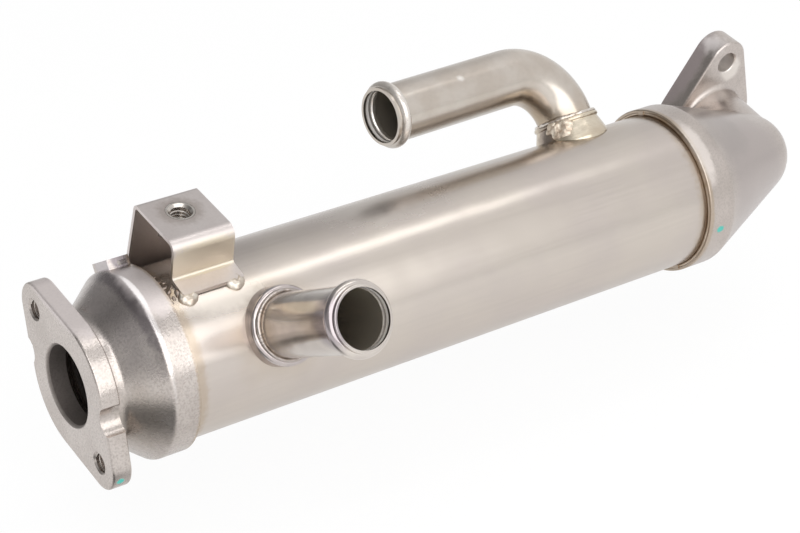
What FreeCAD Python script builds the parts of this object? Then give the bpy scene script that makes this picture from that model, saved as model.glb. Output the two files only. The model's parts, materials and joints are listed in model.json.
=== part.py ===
"""Exhaust gas cooler: a shell and tube bundle between two cast gas ends, with two coolant pipes.

Millimetres and degrees.  The origin is the centre of the gas bore on the inlet flange's face.
+X runs along the shell to the outlet end, +Y is the way the outlet flange faces, and +Z is the
side of the mounting bracket.
"""
import FreeCAD
import Part
import Sketcher
import math
import os
import re

# Driving sizes, in millimetres and degrees
SIZES = {
    # Shell and tube bundle
    "shell_radius": 30.0,  # outside radius of the shell tube
    "shell_wall": 1.5,  # wall of the shell tube
    "shell_visible": 223.0,  # length of shell between the two cast rims
    "shell_seat": 7.5,  # depth of the shell inside each cast rim
    "fit_gap": 0.1,  # clearance round a piece in its seat
    "ledge": 1.0,  # radial width of the ledge that the shell's end butts on
    "sheet_thick": 2.5,  # thickness of the tube sheets
    "sheet_inset": 0.5,  # depth of a tube sheet inside the shell's end
    "tube_radius": 4.0,  # outside radius of a gas tube
    "tube_wall": 0.5,  # wall of a gas tube
    "tube_stand": 1.0,  # length of tube standing out of its tube sheet
    "bundle_margin": 2.5,  # space between the outermost tube and the shell's wall
    "baffle_thick": 1.2,  # thickness of a baffle
    "baffle_cut": 12.0,  # distance of a baffle's straight edge from the shell's axis
    "braze_leg": 1.1,  # leg of the braze fillet at a rim

    # Inlet casting
    "inlet_depth": 31.7,  # flange face to the end of the inlet rim
    "inlet_rim_length": 9.7,  # length of the cylindrical inlet rim
    "inlet_rim_wall": 2.6,  # outside of the shell to the outside of the inlet rim
    "inlet_flange_thick": 7.0,  # thickness of the inlet flange
    "inlet_bore_radius": 13.8,  # radius of the gas inlet bore
    "inlet_bolt_circle": 55.5,  # diameter of the inlet bolt circle
    "inlet_bolt_angle": 33.0,  # angle of the inlet bolt axis above +Y
    "inlet_bolt_radius": 3.4,  # radius of the inlet's tapped holes
    "inlet_ear_radius": 9.3,  # outside radius of an inlet ear
    "inlet_ear_slant": 21.5,  # slant of the ear's lower side from upright
    "inlet_ear_side": 13.5,  # length of the ear's slanted side
    "scallop_radius": 5.4,  # radius of the relief beside an ear
    "scallop_centre": 27.9,  # distance of the relief's centre from the bore axis
    "scallop_angle": -9.3,  # angle of the relief's centre above +Y
    "neck_radius": 22.5,  # radius of the neck behind the inlet flange
    "neck_length": 2.5,  # length of the neck behind the inlet flange
    "cast_wall": 4.0,  # wall of the castings
    "lug_angle": 49.0,  # angle of the rim's lug above +Y
    "lug_setback": 1.7,  # start of the inlet rim to the lug
    "lug_height": 2.9,  # height of the lug above the rim
    "lug_width": 12.0,  # width of the lug round the rim
    "lug_length": 8.0,  # length of the lug along the shell
    "lug_hole_setback": 3.6,  # end of the lug to its hole
    "lug_hole_length": 3.2,  # length of the hole through the lug
    "lug_hole_height": 1.7,  # height of the hole above the rim

    # Outlet casting
    "outlet_rim_length": 8.0,  # length of the cylindrical outlet rim
    "outlet_rim_wall": 2.3,  # outside of the shell to the outside of the outlet rim
    "outlet_lip": 1.1,  # thickness of the outlet rim's lip
    "outlet_lip_round": 0.5,  # rounding of the lip's outer edge
    "groove_depth": 1.6,  # depth of the open groove between lip and shell
    "nub_width": 3.0,  # width of a centring nub in the groove
    "elbow_reach": 50.3,  # outlet rim's end to the centre of the rounded end
    "elbow_shift": 2.6,  # offset of the rounded end towards the outlet flange
    "elbow_radius": 17.1,  # outside radius of the rounded end
    "elbow_wall": 3.5,  # wall of the elbow
    "port_shift": 4.0,  # offset of the port's axis beyond the rounded end's centre
    "port_radius": 16.3,  # outside radius of the way to the port
    "elbow_overlap": 3.0,  # length of cone that runs on inside the rim
    "elbow_lap": 0.8,  # extra radius of the cone where it is trimmed to the rim
    "elbow_round": 3.0,  # rounding between the rim and the elbow
    "elbow_throat_round": 5.0,  # rounding in the elbow's inner corner
    "port_bore_radius": 14.0,  # radius of the gas outlet bore
    "outlet_face": 39.0,  # shell axis to the outlet flange's face
    "outlet_flange_thick": 10.7,  # thickness of the outlet flange
    "outlet_disc_radius": 21.0,  # radius of the round middle of the outlet flange
    "outlet_ear_radius": 9.4,  # outside radius of an outlet ear
    "outlet_bolt_circle": 55.5,  # diameter of the outlet bolt circle
    "outlet_bolt_radius": 4.25,  # radius of the outlet's plain bolt holes
    "outlet_bolt_tilt": 4.5,  # tilt of the outlet bolt axis from +Z towards +X

    # Coolant pipes
    "straight_pipe_setback": 33.2,  # inlet rim's end to the straight pipe's foot
    "straight_pipe_turn": 52.5,  # angle of the straight pipe from +Z towards -Y
    "straight_pipe_lean": 3.4,  # lean of the straight pipe towards +X
    "straight_pipe_radius": 11.0,  # outside radius of the straight pipe
    "straight_pipe_reach": 78.5,  # shell axis to the straight pipe's mouth
    "bent_pipe_setback": 29.5,  # bent pipe's foot to the outlet rim's end
    "bent_pipe_angle": 45.0,  # angle of the bent pipe's foot above +Y
    "bent_pipe_roll": 4.5,  # turn of the bent pipe's run about its foot
    "bent_pipe_radius": 10.7,  # outside radius of the bent pipe
    "bent_pipe_neck": 0.8,  # top of the bent pipe's collar to the start of the bend
    "bent_pipe_bend": 21.5,  # centre-line radius of the bend
    "bent_pipe_sweep": 91.6,  # angle of the bend
    "bent_pipe_run": 60.2,  # length of the run from the bend to the mouth
    "pipe_wall": 1.0,  # wall of the coolant pipes
    "pipe_stand": 0.3,  # length of pipe standing inside the shell's wall
    "bead_setback": 3.3,  # mouth of a pipe to the middle of its rolled bead
    "bead_height": 1.7,  # height of the rolled bead above the pipe
    "bead_roll": 2.0,  # section radius of the rolled bead

    # Collars of the coolant pipes
    "collar_wall": 2.5,  # thickness of the straight pipe's collar
    "collar_rise": 3.6,  # height of the straight pipe's collar above the shell
    "skirt_wall": 1.3,  # thickness of the bent pipe's collar
    "skirt_flare": 2.6,  # widening of the bent pipe's collar at the shell
    "skirt_rise": 5.4,  # height of the bent pipe's collar above the shell
    "lip_roll": 1.0,  # section radius of the lip round the bent pipe's collar
    "collar_drop": 9.0,  # length of collar blank cut away by the shell
    "weld_roll": 1.1,  # section radius of a weld ring

    # Bracket and weld nut
    "bracket_setback": 5.5,  # inlet rim's end to the bracket
    "bracket_width": 23.2,  # width of the bracket along the shell
    "bracket_top": 45.2,  # shell axis to the top of the bracket
    "bracket_front": 1.0,  # distance of the bracket's front web on the -Y side
    "bracket_sheet": 1.3,  # thickness of the bracket's sheet
    "bracket_foot": 7.5,  # length of the bracket's front foot
    "bracket_slant": 8.0,  # slant of the bracket's back leg
    "bracket_tail": 5.0,  # length of the back leg below its contact with the shell
    "front_bend": 4.0,  # outside radius of the front bend
    "back_bend": 2.4,  # outside radius of the back bend
    "foot_bend": 2.5,  # outside radius of the foot's bend
    "nut_offset": 16.2,  # front web to the middle of the weld nut
    "nut_flats": 14.0,  # width of the weld nut across its flats
    "nut_height": 6.5,  # height of the weld nut's body
    "nut_pilot": 5.0,  # radius of the weld nut's pilot
    "nut_thread": 3.4,  # radius of the weld nut's thread bore
    "tack_radius": 2.1,  # radius of a tack weld
}

doc = FreeCAD.newDocument("GasCooler")
sheet = doc.addObject("Spreadsheet::Sheet", "Sizes")
for row, (alias, number) in enumerate(SIZES.items(), 1):
    sheet.set(f"A{row}", alias.replace("_", " "))
    sheet.set(f"B{row}", str(number))
    sheet.setAlias(f"B{row}", alias)
doc.recompute()
SIZE_WORD = re.compile(r"\b(" + "|".join(SIZES) + r")\b")

# Places that several pieces share, each worked out from the driving sizes
SHELL_START = "(inlet_depth - shell_seat)"
OUTLET_START = "(inlet_depth + shell_visible)"
SHELL_END = f"({OUTLET_START} + shell_seat)"
SHELL_INNER = "(shell_radius - shell_wall)"
SEAT_RADIUS = "(shell_radius + fit_gap)"
GAS_RADIUS = f"({SHELL_INNER} - ledge)"
INLET_RIM = "(shell_radius + inlet_rim_wall)"
OUTLET_RIM = "(shell_radius + outlet_rim_wall)"
STRAIGHT_X = "(inlet_depth + straight_pipe_setback)"
BENT_X = f"({OUTLET_START} - bent_pipe_setback)"
TUBE_PITCH = f"(({SHELL_INNER} - bundle_margin - tube_radius) / 2)"
ELBOW_X = f"({OUTLET_START} + elbow_reach)"
PORT_X = f"({ELBOW_X} + port_shift)"
PLATE_BACK = "(outlet_face - outlet_flange_thick)"
STRAIGHT_PLACE = (
    f"placement(vector({STRAIGHT_X}; 0; 0); rotation(vector(1; 0; 0); straight_pipe_turn))"
    " * placement(vector(0; 0; 0); rotation(vector(0; 1; 0); straight_pipe_lean))")
BENT_PLACE = (
    f"placement(vector({BENT_X}; 0; 0); rotation(vector(1; 0; 0); bent_pipe_angle))"
    " * placement(vector(0; 0; 0); rotation(vector(0; 1; 0); bent_pipe_roll))")


def cells(formula):
    """Point each size's name in a formula at its cell of the sheet."""
    return SIZE_WORD.sub(r"Sizes.\1", formula)


def value(formula):
    """The number that a formula of sizes gives."""
    result = sheet.evalExpression(cells(formula))
    return float(getattr(result, "Value", result))


def bind(feature, **formulas):
    """Bind properties of a feature to formulas of sizes."""
    for name, formula in formulas.items():
        feature.setExpression(name, cells(formula))


def place(feature, x="0", y="0", z="0", turn=None):
    """Bind a feature's place, and its turn as (axis, angle), to formulas of sizes."""
    axis, angle = turn if turn else ("vector(0; 0; 1)", "0")
    feature.setExpression(
        "Placement", cells(f"placement(vector({x}; {y}; {z}); rotation({axis}; {angle}))"))


def new_body(name, placement=None):
    """A body whose label names its part, with its placement bound to a formula."""
    result = doc.addObject("PartDesign::Body", name)
    result.Label = name
    if placement:
        result.setExpression("Placement", cells(placement))
    return result


def origin_feature(body, role):
    """The plane or axis of a body's own origin that has a given role."""
    return next(item for item in body.Origin.OriginFeatures if item.Role == role)


def new_sketch(body, name, plane, offset=None):
    """A sketch on one of the body's origin planes, moved by an attachment formula."""
    sketch = body.newObject("Sketcher::SketchObject", name)
    sketch.AttachmentSupport = [(origin_feature(body, plane), "")]
    sketch.MapMode = "FlatFace"
    if offset:
        sketch.setExpression("AttachmentOffset", cells(offset))
    return sketch


def shift(distance, x="0", y="0"):
    """The attachment formula of a plane moved along its own normal, and across it."""
    return f"placement(vector({x}; {y}; {distance}); rotation(vector(0; 0; 1); 0))"


def pin_point(sketch, geometry, point, x, y, tag):
    """Fix one point of a sketch at two formulas of sizes."""
    for kind, formula in (("DistanceX", x), ("DistanceY", y)):
        index = sketch.addConstraint(
            Sketcher.Constraint(kind, -1, 1, geometry, point, value(formula)))
        name = f"{kind}_{tag}"
        sketch.renameConstraint(index, name)
        sketch.setExpression(f"Constraints.{name}", cells(formula))


def draw_polygon(sketch, corners):
    """Draw a closed outline of straight sides, each corner fixed by formulas."""
    points = [FreeCAD.Vector(value(x), value(y), 0) for x, y in corners]
    sides = [
        sketch.addGeometry(Part.LineSegment(start, end))
        for start, end in zip(points, points[1:] + points[:1])]
    for side, following in zip(sides, sides[1:] + sides[:1]):
        sketch.addConstraint(Sketcher.Constraint("Coincident", side, 2, following, 1))
    for number, (side, (x, y)) in enumerate(zip(sides, corners)):
        pin_point(sketch, side, 1, x, y, number)


def draw_circle(sketch, radius, x="0", y="0"):
    """Draw a circle whose centre and radius are fixed by formulas."""
    tag = sketch.GeometryCount
    centre = FreeCAD.Vector(value(x), value(y), 0)
    circle = sketch.addGeometry(Part.Circle(centre, FreeCAD.Vector(0, 0, 1), value(radius)))
    pin_point(sketch, circle, 3, x, y, tag)
    index = sketch.addConstraint(Sketcher.Constraint("Radius", circle, value(radius)))
    sketch.renameConstraint(index, f"radius_{tag}")
    sketch.setExpression(f"Constraints.radius_{tag}", cells(radius))


def polygon_sketch(body, name, plane, corners, offset=None):
    """A sketch that holds one outline of straight sides."""
    sketch = new_sketch(body, name, plane, offset)
    draw_polygon(sketch, corners)
    return sketch


def circle_sketch(body, name, plane, radius, x="0", y="0", offset=None):
    """A sketch that holds one circle."""
    sketch = new_sketch(body, name, plane, offset)
    draw_circle(sketch, radius, x, y)
    return sketch


def pad(body, sketch, length, reverse=False, both_ways=False):
    """Extrude a sketch, along its normal unless reversed or both ways."""
    feature = body.newObject("PartDesign::Pad", f"{sketch.Name}_pad")
    feature.Profile = sketch
    feature.Reversed = reverse
    if both_ways:
        feature.SideType = "Symmetric"
    bind(feature, Length=length)
    return feature


def pocket(body, sketch, length, reverse=False):
    """Cut a sketch's outline out of the body, against its normal unless reversed."""
    doc.recompute()
    before = body.Shape.Volume
    feature = body.newObject("PartDesign::Pocket", f"{sketch.Name}_pocket")
    feature.Profile = sketch
    feature.Reversed = reverse
    bind(feature, Length=length)
    doc.recompute()
    if feature.Shape.isNull() or feature.Shape.Volume > before - 0.01:
        raise ValueError(f"{feature.Name} cuts nothing")
    return feature


def revolve(body, sketch, cut=False, axis="H_Axis", angle="360"):
    """Turn a sketch about one of its own axes, as a solid or as a cut."""
    kind = "Groove" if cut else "Revolution"
    feature = body.newObject(f"PartDesign::{kind}", f"{sketch.Name}_{kind.lower()}")
    feature.Profile = sketch
    feature.ReferenceAxis = (sketch, [axis])
    bind(feature, Angle=angle)
    return feature


def primitive(body, kind, name, plane, offset, **formulas):
    """Add or cut a ready-made solid at an attachment formula."""
    feature = body.newObject(f"PartDesign::{kind}", name)
    feature.AttachmentSupport = [(origin_feature(body, plane), "")]
    feature.MapMode = "FlatFace"
    feature.setExpression("AttachmentOffset", cells(offset))
    bind(feature, **formulas)
    return feature


def polar(body, name, originals, axis, count):
    """Repeat features round an axis, and make the pattern the body's tip."""
    feature = body.newObject("PartDesign::PolarPattern", name)
    feature.Originals = originals
    feature.Axis = axis
    feature.Angle = 360
    feature.Occurrences = count
    body.Tip = feature
    doc.recompute()
    return feature


def edge_names(body, wanted):
    """The names of the tip's edges that pass a test."""
    doc.recompute()
    return [f"Edge{number}" for number, edge in enumerate(body.Tip.Shape.Edges, 1) if wanted(edge)]


def soften(body, kind, name, wanted, amount):
    """Fillet or chamfer the edges of the tip that pass a test."""
    names = edge_names(body, wanted)
    if not names:
        raise ValueError(f"{name} finds no edge")
    base = body.Tip
    feature = body.newObject(f"PartDesign::{kind}", name)
    feature.Base = (base, names)
    bind(feature, **{"Radius" if kind == "Fillet" else "Size": amount})
    doc.recompute()
    if feature.Shape.isNull():
        raise ValueError(f"{name} has no shape")
    return feature


def curve_of(edge):
    """An edge's curve, or nothing for the few kinds of curve that have no name."""
    try:
        return edge.Curve
    except TypeError:
        return None


def is_ring(edge, axis, distance, radius):
    """Whether an edge is a circle of a radius, square to an axis at a distance along it."""
    curve = curve_of(edge)
    if not isinstance(curve, Part.Circle):
        return False
    centre = getattr(curve.Center, axis)
    return abs(curve.Radius - radius) < 0.01 and abs(centre - distance) < 0.01


def lies_at(edge, axis, distance):
    """Whether an edge lies in the plane square to an axis at a distance along it."""
    low = getattr(edge.BoundBox, f"{axis.upper()}Min")
    high = getattr(edge.BoundBox, f"{axis.upper()}Max")
    return abs(low - distance) < 0.01 and abs(high - distance) < 0.01


# Inlet casting: flange, neck, bell and rim in one piece
def build_inlet_casting():
    """The cast gas inlet: a two-bolt flange, a flared bell and the rim round the shell."""
    body = new_body("inlet_casting")
    thick = "inlet_flange_thick"
    disc_radius = "(inlet_bolt_circle / 2 * sin(inlet_bolt_angle) + inlet_ear_radius)"
    pad(body, circle_sketch(body, "inlet_disc", "YZ_Plane", disc_radius), thick)

    ear_y = "(inlet_bolt_circle / 2 * cos(inlet_bolt_angle))"
    ear_z = "(inlet_bolt_circle / 2 * sin(inlet_bolt_angle))"
    side_y = f"({ear_y} + inlet_ear_radius * cos(inlet_ear_slant))"
    side_z = f"({ear_z} - inlet_ear_radius * sin(inlet_ear_slant))"
    corners = [
        ("0", disc_radius),
        ("0", "0"),
        (f"({side_y} - inlet_ear_side * sin(inlet_ear_slant))",
         f"({side_z} - inlet_ear_side * cos(inlet_ear_slant))"),
        (side_y, side_z),
        (ear_y, disc_radius)]
    relief_y = "scallop_centre * cos(scallop_angle)"
    relief_z = "scallop_centre * sin(scallop_angle)"
    ends = (("upper", "1"), ("lower", "-1"))
    for end, way in ends:
        pad(body, polygon_sketch(body, f"{end}_web", "YZ_Plane", [
            (f"{way} * {y}", f"{way} * {z}") for y, z in corners]), thick)
        pad(body, circle_sketch(
            body, f"{end}_ear", "YZ_Plane", "inlet_ear_radius",
            f"{way} * {ear_y}", f"{way} * {ear_z}"), thick)
    face, back = 0.0, value(thick)
    soften(body, "Fillet", "inlet_flange_rounds", lambda edge: any(
        lies_at(edge, "x", x) for x in (face, back)), "0.8")
    for end, way in ends:
        pocket(body, circle_sketch(
            body, f"{end}_scallop", "YZ_Plane", "scallop_radius",
            f"{way} * {relief_y}", f"{way} * {relief_z}"), thick, reverse=True)
        pocket(body, circle_sketch(
            body, f"{end}_bolt_hole", "YZ_Plane", "inlet_bolt_radius",
            f"{way} * {ear_y}", f"{way} * {ear_z}"), thick, reverse=True)
    soften(body, "Chamfer", "inlet_hole_chamfers", lambda edge: any(
        is_ring(edge, "x", x, value("inlet_bolt_radius")) for x in (face, back)), "0.6")

    shoulder = "(inlet_depth - inlet_rim_length)"
    outside = [
        (f"{thick} / 2", "0"),
        (f"{thick} / 2", "neck_radius"),
        (f"{thick} + neck_length", "neck_radius"),
        (shoulder, INLET_RIM),
        ("inlet_depth", INLET_RIM),
        ("inlet_depth", "0")]
    revolve(body, polygon_sketch(body, "inlet_bell", "XZ_Plane", outside))

    soften(body, "Fillet", "inlet_shoulder_round", lambda edge: is_ring(
        edge, "x", value(shoulder), value(INLET_RIM)), "2.2")
    soften(body, "Fillet", "inlet_neck_round", lambda edge: is_ring(
        edge, "x", value(f"{thick} + neck_length"), value("neck_radius")), "3")

    around = "placement(vector(0; 0; 0); rotation(vector(1; 0; 0); lug_angle))"
    lug_x = f"({shoulder} + lug_setback)"
    pad(body, polygon_sketch(body, "rim_lug", "XY_Plane", [
        (lug_x, f"{INLET_RIM} - ledge"),
        (lug_x, f"{INLET_RIM} + lug_height"),
        (f"{lug_x} + lug_length", f"{INLET_RIM} + lug_height"),
        (f"{lug_x} + lug_length", f"{INLET_RIM} - ledge")], around),
        "lug_width", both_ways=True)
    hole_x = f"({lug_x} + lug_hole_setback)"
    hole_low, hole_high = f"({INLET_RIM} + 0.1)", f"({INLET_RIM} + lug_hole_height)"
    across = "placement(vector(0; 0; -lug_width); rotation(vector(0; 0; 1); 0))"
    pocket(body, polygon_sketch(body, "lug_hole", "XY_Plane", [
        (hole_x, hole_low),
        (hole_x, hole_high),
        (f"{hole_x} + lug_hole_length", hole_high),
        (f"{hole_x} + lug_hole_length", hole_low)], f"{around} * {across}"),
        "lug_width * 2", reverse=True)

    bore = "inlet_bore_radius"
    inside = [
        (f"-{thick}", "0"),
        (f"-{thick}", bore),
        (thick, bore),
        (f"{thick} + neck_length + ledge", "neck_radius - cast_wall"),
        (f"{SHELL_START} - ledge", GAS_RADIUS),
        (SHELL_START, GAS_RADIUS),
        (SHELL_START, SEAT_RADIUS),
        ("inlet_depth + ledge", SEAT_RADIUS),
        ("inlet_depth + ledge", "0")]
    revolve(body, polygon_sketch(body, "inlet_inside", "XZ_Plane", inside), cut=True)
    soften(body, "Chamfer", "inlet_bore_chamfer", lambda edge: is_ring(
        edge, "x", 0, value(bore)), "0.9")
    return body


# Outlet casting: rim, tapered elbow, port and flange in one piece
def elbow_space(body, name, start_radius, start_x, end_radius, way_radius, cut):
    """The elbow's outside or inside: a cone with a rounded end, and the way to the port."""
    reach = f"sqrt(pow({ELBOW_X} - {start_x}; 2) + pow(elbow_shift; 2))"
    slope = (f"(atan2({start_radius}; {reach})"
             f" - asin({end_radius} / sqrt(pow({reach}; 2) + pow({start_radius}; 2))))")
    back = "elbow_overlap"
    sketch = new_sketch(body, f"{name}_cone", "XY_Plane", (
        f"placement(vector({start_x}; 0; 0); rotation(vector(0; 0; 1);"
        f" atan2(elbow_shift; {ELBOW_X} - {start_x})))"))
    corners = [
        (f"-{back}", "0"),
        (f"-{back}", f"{start_radius} + {back} * tan({slope})"),
        (f"{reach} + {end_radius} * sin({slope})", f"{end_radius} * cos({slope})"),
        (f"{reach} + {end_radius}", "0")]
    spots = [FreeCAD.Vector(value(x), value(y), 0) for x, y in corners]
    centre = FreeCAD.Vector(value(reach), 0, 0)
    sides = [sketch.addGeometry(Part.LineSegment(spots[k], spots[k + 1])) for k in (0, 1)]
    arc = sketch.addGeometry(Part.ArcOfCircle(
        Part.Circle(centre, FreeCAD.Vector(0, 0, 1), value(end_radius)),
        0, math.radians(90 - value(slope))))
    sides.append(sketch.addGeometry(Part.LineSegment(spots[3], spots[0])))
    joints = (
        (sides[0], 2, sides[1], 1), (sides[1], 2, arc, 2), (arc, 1, sides[2], 1),
        (sides[2], 2, sides[0], 1))
    for first, end, second, start in joints:
        sketch.addConstraint(Sketcher.Constraint("Coincident", first, end, second, start))
    points = ((sides[0], 1), (sides[1], 1), (sides[1], 2), (sides[2], 1))
    for number, ((geometry, point), (x, y)) in enumerate(zip(points, corners)):
        pin_point(sketch, geometry, point, x, y, number)
    index = sketch.addConstraint(Sketcher.Constraint("Radius", arc, value(end_radius)))
    sketch.renameConstraint(index, "end_radius")
    sketch.setExpression("Constraints.end_radius", cells(end_radius))
    revolve(body, sketch, cut)
    turn = "rotation(vector(0; 0; 1); -atan2(port_shift; outlet_face - elbow_shift))"
    primitive(
        body, "SubtractiveCylinder" if cut else "AdditiveCylinder", f"{name}_way", "XY_Plane",
        f"placement(vector({ELBOW_X}; elbow_shift; 0); {turn})"
        " * placement(vector(0; 0; 0); rotation(vector(1; 0; 0); -90))",
        Radius=way_radius, Height=f"{PLATE_BACK} - elbow_shift + outlet_flange_thick / 2")


# Angles above +Y of the nubs that centre the shell in the outlet rim
NUB_ANGLES = (60, 229, 325)


def build_outlet_casting():
    """The cast gas outlet: the rim, a tapering elbow, and a slender two-bolt flange."""
    body = new_body("outlet_casting")
    rim_end = f"({OUTLET_START} + outlet_rim_length)"
    pad(body, circle_sketch(
        body, "outlet_rim", "YZ_Plane", OUTLET_RIM, offset=shift(OUTLET_START)),
        "outlet_rim_length")
    elbow_space(body, "elbow", f"({OUTLET_RIM} + elbow_lap)", rim_end, "elbow_radius",
                "port_radius", False)
    revolve(body, polygon_sketch(body, "elbow_trim", "XZ_Plane", [
        (f"{rim_end} - elbow_overlap * 2", OUTLET_RIM),
        (f"{rim_end} + elbow_overlap * 2", OUTLET_RIM),
        (f"{rim_end} + elbow_overlap * 2", f"{OUTLET_RIM} + elbow_overlap"),
        (f"{rim_end} - elbow_overlap * 2", f"{OUTLET_RIM} + elbow_overlap")]), cut=True)
    soften(body, "Fillet", "elbow_throat", is_throat, "elbow_throat_round")
    soften(body, "Fillet", "elbow_shoulder", is_shoulder, "elbow_round")

    plate = (f"placement(vector({PORT_X}; 0; -{PLATE_BACK});"
             " rotation(vector(0; 0; 1); -outlet_bolt_tilt))")
    thick = "outlet_flange_thick"
    disc_sketch = circle_sketch(
        body, "outlet_disc", "XZ_Plane", "outlet_disc_radius", offset=plate)
    pad(body, disc_sketch, thick, reverse=True)
    ear_up = "(outlet_bolt_circle / 2)"
    narrowing = "((outlet_disc_radius - outlet_ear_radius) / outlet_bolt_circle * 2)"
    across = f"sqrt(1 - pow({narrowing}; 2))"
    disc_x, disc_z = f"outlet_disc_radius * {across}", f"outlet_disc_radius * {narrowing}"
    ear_x = f"outlet_ear_radius * {across}"
    ear_z = f"{ear_up} + outlet_ear_radius * {narrowing}"
    web = pad(body, polygon_sketch(body, "outlet_web", "XZ_Plane", [
        (f"-{disc_x}", disc_z), (disc_x, disc_z), (ear_x, ear_z), (f"-{ear_x}", ear_z)],
        plate), thick, reverse=True)
    ear = pad(body, circle_sketch(
        body, "outlet_ear", "XZ_Plane", "outlet_ear_radius", "0", ear_up, plate),
        thick, reverse=True)
    hole = pocket(body, circle_sketch(
        body, "outlet_bolt_hole", "XZ_Plane", "outlet_bolt_radius", "0", ear_up, plate), thick)
    polar(body, "outlet_ears", [web, ear, hole], (disc_sketch, ["N_Axis"]), 2)
    front, back = value("outlet_face"), value(PLATE_BACK)
    soften(body, "Chamfer", "outlet_hole_chamfers", lambda edge: any(
        is_ring(edge, "y", y, value("outlet_bolt_radius")) for y in (front, back)), "0.5")
    soften(body, "Fillet", "outlet_flange_rounds", lambda edge: any(
        lies_at(edge, "y", y) for y in (front, back)) and not is_port_edge(edge), "0.9")
    soften(body, "Fillet", "port_foot", lambda edge: lies_at(
        edge, "y", back) and is_port_edge(edge), "2")

    elbow_space(body, "gas_way", GAS_RADIUS, SHELL_END,
                "(elbow_radius - elbow_wall)", "(port_radius - elbow_wall)", True)
    pocket(body, circle_sketch(
        body, "outlet_bore", "XZ_Plane", "port_bore_radius",
        offset=shift(f"-{PLATE_BACK}", PORT_X)), thick)
    seat = [
        (f"{OUTLET_START} - ledge", "0"),
        (f"{OUTLET_START} - ledge", f"{OUTLET_RIM} - outlet_lip"),
        (f"{OUTLET_START} + groove_depth", f"{OUTLET_RIM} - outlet_lip"),
        (f"{OUTLET_START} + groove_depth", SEAT_RADIUS),
        (SHELL_END, SEAT_RADIUS),
        (SHELL_END, "0")]
    revolve(body, polygon_sketch(body, "outlet_seat", "XZ_Plane", seat), cut=True)
    for number, angle in enumerate(NUB_ANGLES):
        around = f"placement(vector(0; 0; 0); rotation(vector(1; 0; 0); {angle}))"
        pad(body, polygon_sketch(body, f"nub_{number}", "XY_Plane", [
            (f"{OUTLET_START} - 0.3", SEAT_RADIUS),
            (f"{OUTLET_START} + groove_depth + fit_gap", SEAT_RADIUS),
            (f"{OUTLET_START} + groove_depth + fit_gap", f"{OUTLET_RIM} - outlet_lip / 2"),
            (f"{OUTLET_START} - 0.3", f"{OUTLET_RIM} - outlet_lip / 2")],
            around), "nub_width", both_ways=True)
    soften(body, "Chamfer", "outlet_bore_chamfer", lambda edge: is_ring(
        edge, "y", front, value("port_bore_radius")), "0.8")
    soften(body, "Fillet", "outlet_lip_edge", lambda edge: is_ring(
        edge, "x", value(OUTLET_START), value(OUTLET_RIM)), "outlet_lip_round")
    return body


def is_throat(edge):
    """Whether an edge is where the elbow's cone runs into the way to the port."""
    box = edge.BoundBox
    return (box.XMin > value(ELBOW_X) - 20 and box.YMin > value("elbow_shift")
            and box.YMax < value(PLATE_BACK) and box.ZLength > 1)


def is_shoulder(edge):
    """Whether an edge is where the elbow's cone leaves the outlet rim."""
    start = value(OUTLET_START) + value("outlet_rim_length")
    box = edge.BoundBox
    return box.XMin > start - 1 and box.XMax < start + 5 and box.YLength > 3


def is_port_edge(edge):
    """Whether an edge is where the port runs into the back of its flange."""
    centre = FreeCAD.Vector(value(PORT_X), edge.CenterOfMass.y, 0)
    return max(vertex.Point.distanceToPoint(centre) for vertex in edge.Vertexes) < value(
        "elbow_radius") + 1.5


# Shell
def build_shell():
    """The shell tube with the two holes that its coolant pipes stand in."""
    body = new_body("shell_tube")
    length = f"{SHELL_END} - {SHELL_START}"
    pad(body, circle_sketch(
        body, "shell_outside", "YZ_Plane", "shell_radius", offset=shift(SHELL_START)), length)
    pocket(body, circle_sketch(
        body, "shell_inside", "YZ_Plane", SHELL_INNER, offset=shift(SHELL_START)),
        length, reverse=True)
    pocket(body, circle_sketch(
        body, "straight_hole", "XY_Plane", "straight_pipe_radius + fit_gap",
        offset=STRAIGHT_PLACE), "shell_radius * 1.5", reverse=True)
    bent_plane = BENT_PLACE + " * placement(vector(0; 0; 0); rotation(vector(1; 0; 0); -90))"
    pocket(body, circle_sketch(
        body, "bent_hole", "XY_Plane", "bent_pipe_radius + fit_gap",
        offset=bent_plane), "shell_radius * 1.5", reverse=True)
    return body


# Tube bundle
def bundle_plate(name, radius, thick, x, hole_radius, window=0):
    """A round plate with the bundle's nineteen holes, and a straight cut on one side."""
    body = new_body(name, f"placement(vector({x}; 0; 0); rotation(vector(1; 0; 0); 0))")
    pad(body, circle_sketch(body, f"{name}_disc", "YZ_Plane", radius), thick)
    holes = []
    rings = (("first", TUBE_PITCH, "0"), ("corner", f"2 * {TUBE_PITCH}", "0"),
             ("middle", f"1.5 * {TUBE_PITCH}", f"sqrt(3) / 2 * {TUBE_PITCH}"))
    pocket(body, circle_sketch(body, f"{name}_centre", "YZ_Plane", hole_radius),
           thick, reverse=True)
    for ring, y, z in rings:
        holes.append(pocket(body, circle_sketch(
            body, f"{name}_{ring}", "YZ_Plane", hole_radius, y, z), thick, reverse=True))
    polar(body, f"{name}_holes", holes, (origin_feature(body, "X_Axis"), [""]), 6)
    if window:
        edge, far = f"{window} * baffle_cut", f"{window} * 2 * shell_radius"
        pocket(body, polygon_sketch(body, f"{name}_window", "YZ_Plane", [
            ("-2 * shell_radius", edge), ("2 * shell_radius", edge),
            ("2 * shell_radius", far), ("-2 * shell_radius", far)]), thick, reverse=True)
    return body


def hex_places(rings):
    """Whole-number steps (a, b) of a hexagonal pattern, out to a number of rings."""
    steps = range(-rings, rings + 1)
    return [(a, b) for a in steps for b in steps if abs(a + b) <= rings]


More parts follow.
